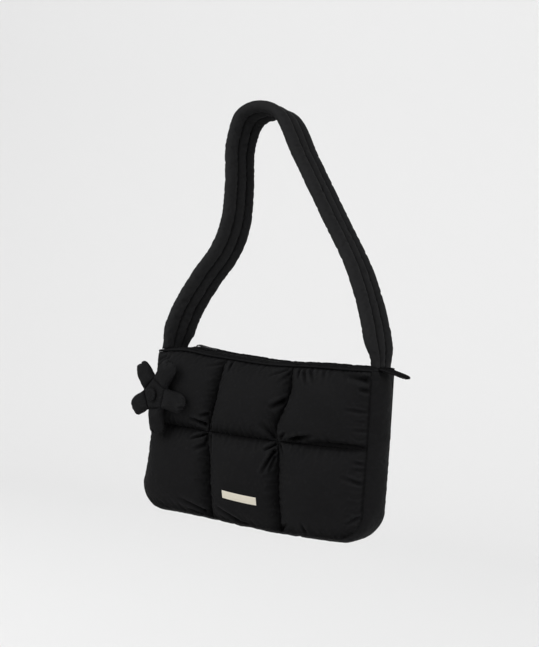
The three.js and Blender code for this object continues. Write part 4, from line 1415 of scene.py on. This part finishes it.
def stuffed_flower():
    """The flower: two faces of stuffed cloth joined round their outline, each sewn down round its middle."""
    angle = np.linspace(0, 2 * math.pi, FLOWER_SPOKES, endpoint=False)
    reach, seam = flower_reach(angle)
    half = FLOWER_BODY.thickness / 2
    full_length = FLOWER_PLUMP.full * (FLOWER.reach - FLOWER_BODY.seam)
    plump = np.clip((reach - seam) / full_length, FLOWER_PLUMP.least, 1)
    radii, heights = [], []
    for share in np.linspace(FLOWER_FACE.covered, 1, FLOWER_INNER + 1):
        radii.append(seam * share)
        rise = FLOWER_FACE.seam + FLOWER_FACE.rise * math.sqrt(max(0.0, 1 - share**2))
        heights.append(np.full(FLOWER_SPOKES, half * rise))
    for share in (1 - np.cos(np.linspace(0, math.pi, FLOWER_OUTER + 1)[1:])) / 2:
        radii.append(seam + (reach - seam) * share)
        swell = math.sqrt(max(0.0, 4 * share * (1 - share)))
        heights.append(half * (FLOWER_FACE.seam * (1 - share) + FLOWER_FACE.puff * swell * plump))
    radii, heights = np.array(radii), np.array(heights)
    radii = np.concatenate([radii, radii[-2::-1]])
    heights = np.concatenate([-heights, heights[-2::-1]])
    x = radii * np.sin(angle)
    bend = FLOWER_BEND.depth * smooth((x - FLOWER_BEND.from_x) / (FLOWER.reach - FLOWER_BEND.from_x))
    local = np.stack([x, -radii * np.cos(angle), heights - bend], -1)
    sewn = np.zeros(radii.shape)
    back_seam, front_seam = FLOWER_INNER, len(radii) - 1 - FLOWER_INNER
    sewn[[back_seam, front_seam]] = 1
    sewn[[0, 1, -2, -1]] = 1
    start = in_bag(local)
    settled = stuffed(start, grid_quads(*radii.shape, True)[0], sewn, np.zeros_like(sewn), FLOWER_CLOTH)
    fine = refined(settled, True)
    points, faces = tube(fine)
    flat = refined(local, True).reshape(-1, 3)[:, :2]
    # Painted shade along the seam round the flower's middle
    tucked = refined(PAINTED_SHADE_SHARES.flower * bell(radii - seam, 0, PAINTED_SHADE_SIZES.edge), True)
    node = ["flower"]
    make_piece("stuffed_flower", points, faces, flower_nylon, "flower_nylon", node, flat, FILL.flower, tucked)
    facing = in_bag(np.array([(0.0, 0.0, 1.0)])) - in_bag(np.zeros((1, 3)))
    around = np.r_[0 : 2 * FLOWER_SPOKES, 0]
    lines = [(fine[2 * front_seam][around], facing), (fine[2 * back_seam][around], -facing)]
    make_piece("flower_stitches", *stitched(lines, length=2.0, gap=0.8), thread, "flower_nylon")


stuffed_flower()

BUTTON_SPOKES = 64
# The button's profile, as distances from its middle and heights
BUTTON_PROFILE = np.array([
    (0.4, 0.0),
    (6.2, 0.0),
    (7.2, 0.5),
    (BUTTON_RADIUS, 1.6),
    (7.1, 2.8),
    (6.2, 3.7),
    (5.0, 4.1),
    (4.2, 3.75),
    (3.4, 4.15),
    (2.0, 4.45),
    (0.3, 4.3),
])
# The small tucks of its cloth: how many, how deep as a share of its radius, and how far from its edge
BUTTON_TUCKS = Sizes(count=11, depth=0.012, spread=1.6)


def covered_button():
    """The cloth-covered button in the flower's middle, with a pressed ring and a small dimple."""
    profile = smooth_line(BUTTON_PROFILE, per_span=6)
    angle = np.linspace(0, 2 * math.pi, BUTTON_SPOKES, endpoint=False)
    near_edge = bell(profile[:, :1], BUTTON_RADIUS, BUTTON_TUCKS.spread)
    radii = profile[:, :1] * (1 + BUTTON_TUCKS.depth * np.sin(BUTTON_TUCKS.count * angle) * near_edge)
    base = FLOWER_BODY.thickness / 2 + GAP
    local = np.stack([
        radii * np.sin(angle),
        -radii * np.cos(angle),
        np.broadcast_to(base + profile[:, 1:], radii.shape),
    ], -1)
    points, faces = tube(in_bag(local))
    flat = local.reshape(-1, 3)[:, :2]
    make_piece("covered_button", points, faces, flower_nylon, "flower_nylon", ["flower_button"], flat)


covered_button()
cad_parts["flower_pin"].material_slots[0].material = pin_steel


# The sewn label

LABEL_COLUMNS = 65
LABEL_ROWS = 17
LABEL_EVERY = 4
# How far the label is clear of the cloth under it
LABEL_CLEAR = 0.15
# The steps from the label's edge to its stitches
LABEL_HEM = 2
# How far, where and how widely its stitches press it, and how far and how widely its edge is rounded
LABEL_PRESS = Sizes(depth=0.25, at=1.3, spread=0.5)
LABEL_ROUND = Sizes(depth=0.35, spread=0.35)

front_tree = BVHTree.FromObject(front, bpy.context.evaluated_depsgraph_get())


def lay_on_front(x, z):
    """The front's outer y at a place seen from the front."""
    inward = Vector((0.0, 1.0, 0.0))
    depths = []
    for at_x, at_z in zip(np.ravel(x), np.ravel(z)):
        hit = front_tree.ray_cast(Vector(to_row((at_x, -DEPTH * 3, at_z))), inward)[0]
        depths.append(hit.y * 1000 + HANG[1])
    return np.array(depths).reshape(np.shape(x))


def sewn_label():
    """A bare woven label laid on the swell of its cell, with stitches round its edge."""
    slant = math.radians(LABEL.slant)
    across, up = np.meshgrid(
        np.linspace(-0.5, 0.5, LABEL_COLUMNS) * LABEL.width,
        np.linspace(-0.5, 0.5, LABEL_ROWS) * LABEL.height,
    )
    plain_x = LABEL.x + across * math.cos(slant) + up * math.sin(slant)
    plain_z = LABEL.z - across * math.sin(slant) + up * math.cos(slant)
    x, z = on_panel(plain_x, plain_z)
    y = lay_on_front(x, z)
    edge = np.minimum(LABEL.width / 2 - np.abs(across), LABEL.height / 2 - np.abs(up))
    pressed = LABEL_PRESS.depth * bell(edge, LABEL_PRESS.at, LABEL_PRESS.spread)
    rounded = LABEL_ROUND.depth * bell(edge, 0, LABEL_ROUND.spread)
    outer = np.stack([x, y - LABEL_CLEAR - LABEL.thickness + pressed + rounded, z], -1)
    few = np.s_[::LABEL_EVERY, ::LABEL_EVERY]
    inner = np.stack([x[few], y[few] - LABEL_CLEAR, z[few]], -1)
    points, faces = two_faced(outer, inner, LABEL_EVERY)
    flat = np.stack([across, up], -1)
    places = flat_places(flat, flat[few])
    make_piece("sewn_label", points, faces, label_cloth, "label_cloth", ["label"], places)
    hemmed = outer[LABEL_HEM:-LABEL_HEM, LABEL_HEM:-LABEL_HEM]
    border = [hemmed[0], hemmed[:, -1], hemmed[-1, ::-1], hemmed[::-1, 0]]
    sewing = stitched([(line, FORWARD) for line in border], length=1.7, gap=0.7, radius=0.16, lift=0.05)
    make_piece("label_stitches", *sewing, label_thread, "label_cloth")


sewn_label()


# Stage, light and camera

# The stage, in metres of the row frame: its floor runs from near to far and bends up into the backdrop
STAGE = Sizes(floor=-0.8, half_width=5.0, near=-5.0, far=2.6, bend=1.2, top=4.0, steps=25)


def pale_stage():
    """A pale floor that bends up into a backdrop behind the bag."""
    bend = np.linspace(0, math.pi / 2, STAGE.steps)
    profile = np.concatenate([
        [(STAGE.near, STAGE.floor)],
        np.stack([
            STAGE.far - STAGE.bend + STAGE.bend * np.sin(bend),
            STAGE.floor + STAGE.bend - STAGE.bend * np.cos(bend),
        ], -1),
        [(STAGE.far, STAGE.top)],
    ])
    x, k = np.meshgrid([-STAGE.half_width, STAGE.half_width], np.arange(len(profile)))
    points = np.stack([x, profile[k, 0], profile[k, 1]], -1)
    mesh = bpy.data.meshes.new("pale_stage")
    mesh.from_pydata(points.reshape(-1, 3).tolist(), [], grid_quads(*x.shape)[0].tolist())
    mesh.shade_smooth()
    mesh.materials.append(finish_of("pale paper", PAPER, PALE_PAPER, 0.9, bump=0.02))
    stage = bpy.data.objects.new("pale_stage", mesh)
    bpy.context.scene.collection.objects.link(stage)


def area_light(name, energy, size, location, target):
    """A soft square light turned to a place."""
    light = bpy.data.lights.new(name, "AREA")
    light.energy = energy
    light.size = size
    lamp = bpy.data.objects.new(name, light)
    lamp.location = location
    lamp.rotation_euler = (Vector(target) - Vector(location)).to_track_quat("-Z", "Y").to_euler()
    bpy.context.scene.collection.objects.link(lamp)


BAG_MIDDLE = to_row((0, 0, 102.5))
# The camera's angles in degrees, its distance from the bag's middle in metres, and in pixels of the picture,
# its focal length and the place of the bag's middle
CAMERA = Sizes(azimuth=30.65, elevation=6.7, roll=3.0, distance=1.904, focal=1544.8, column=269.5, row=439.7)
PICTURE = Sizes(width=539, height=647, sensor=36.0)


def photo_camera():
    """A camera at the photograph's angle, turned so that the bag's middle falls where it does there."""
    a, e, roll = (math.radians(v) for v in (CAMERA.azimuth, CAMERA.elevation, CAMERA.roll))
    back = Vector((math.sin(a) * math.cos(e), -math.cos(a) * math.cos(e), math.sin(e)))
    right = Vector((math.cos(a), math.sin(a), 0))
    up = back.cross(right)
    tilt_x = math.atan2(CAMERA.column - PICTURE.width / 2, CAMERA.focal)
    tilt_y = math.atan2(CAMERA.row - PICTURE.height / 2, CAMERA.focal)
    turned = Matrix((right, up, back)).transposed()
    for angle, axis in ((roll, "Z"), (tilt_y, "X"), (tilt_x, "Y")):
        turned = turned @ Matrix.Rotation(angle, 3, axis)
    data = bpy.data.cameras.new("camera")
    data.sensor_width = PICTURE.sensor
    data.lens = CAMERA.focal * PICTURE.sensor / PICTURE.height
    camera = bpy.data.objects.new("camera", data)
    camera.matrix_world = Matrix.Translation(Vector(BAG_MIDDLE) + back * CAMERA.distance) @ turned.to_4x4()
    bpy.context.scene.collection.objects.link(camera)
    bpy.context.scene.camera = camera


# The studio's grey light from all round, and its lamps: energy in watts, size and place in metres
STUDIO_GREY = (0.8, 0.8, 0.8, 1)
LAMPS = {
    "key": (72, 2.6, (-1.8, -2.4, 1.9)),
    "fill": (20, 1.6, (3.0, -0.5, 0.5)),
}

pale_stage()
photo_camera()
world = bpy.data.worlds.new("studio")
bpy.context.scene.world = world
world.use_nodes = True
world.node_tree.nodes["Background"].inputs["Color"].default_value = STUDIO_GREY
for lamp_name, lamp_values in LAMPS.items():
    area_light(lamp_name, *lamp_values, BAG_MIDDLE)
bpy.context.scene.view_settings.view_transform = "Standard"
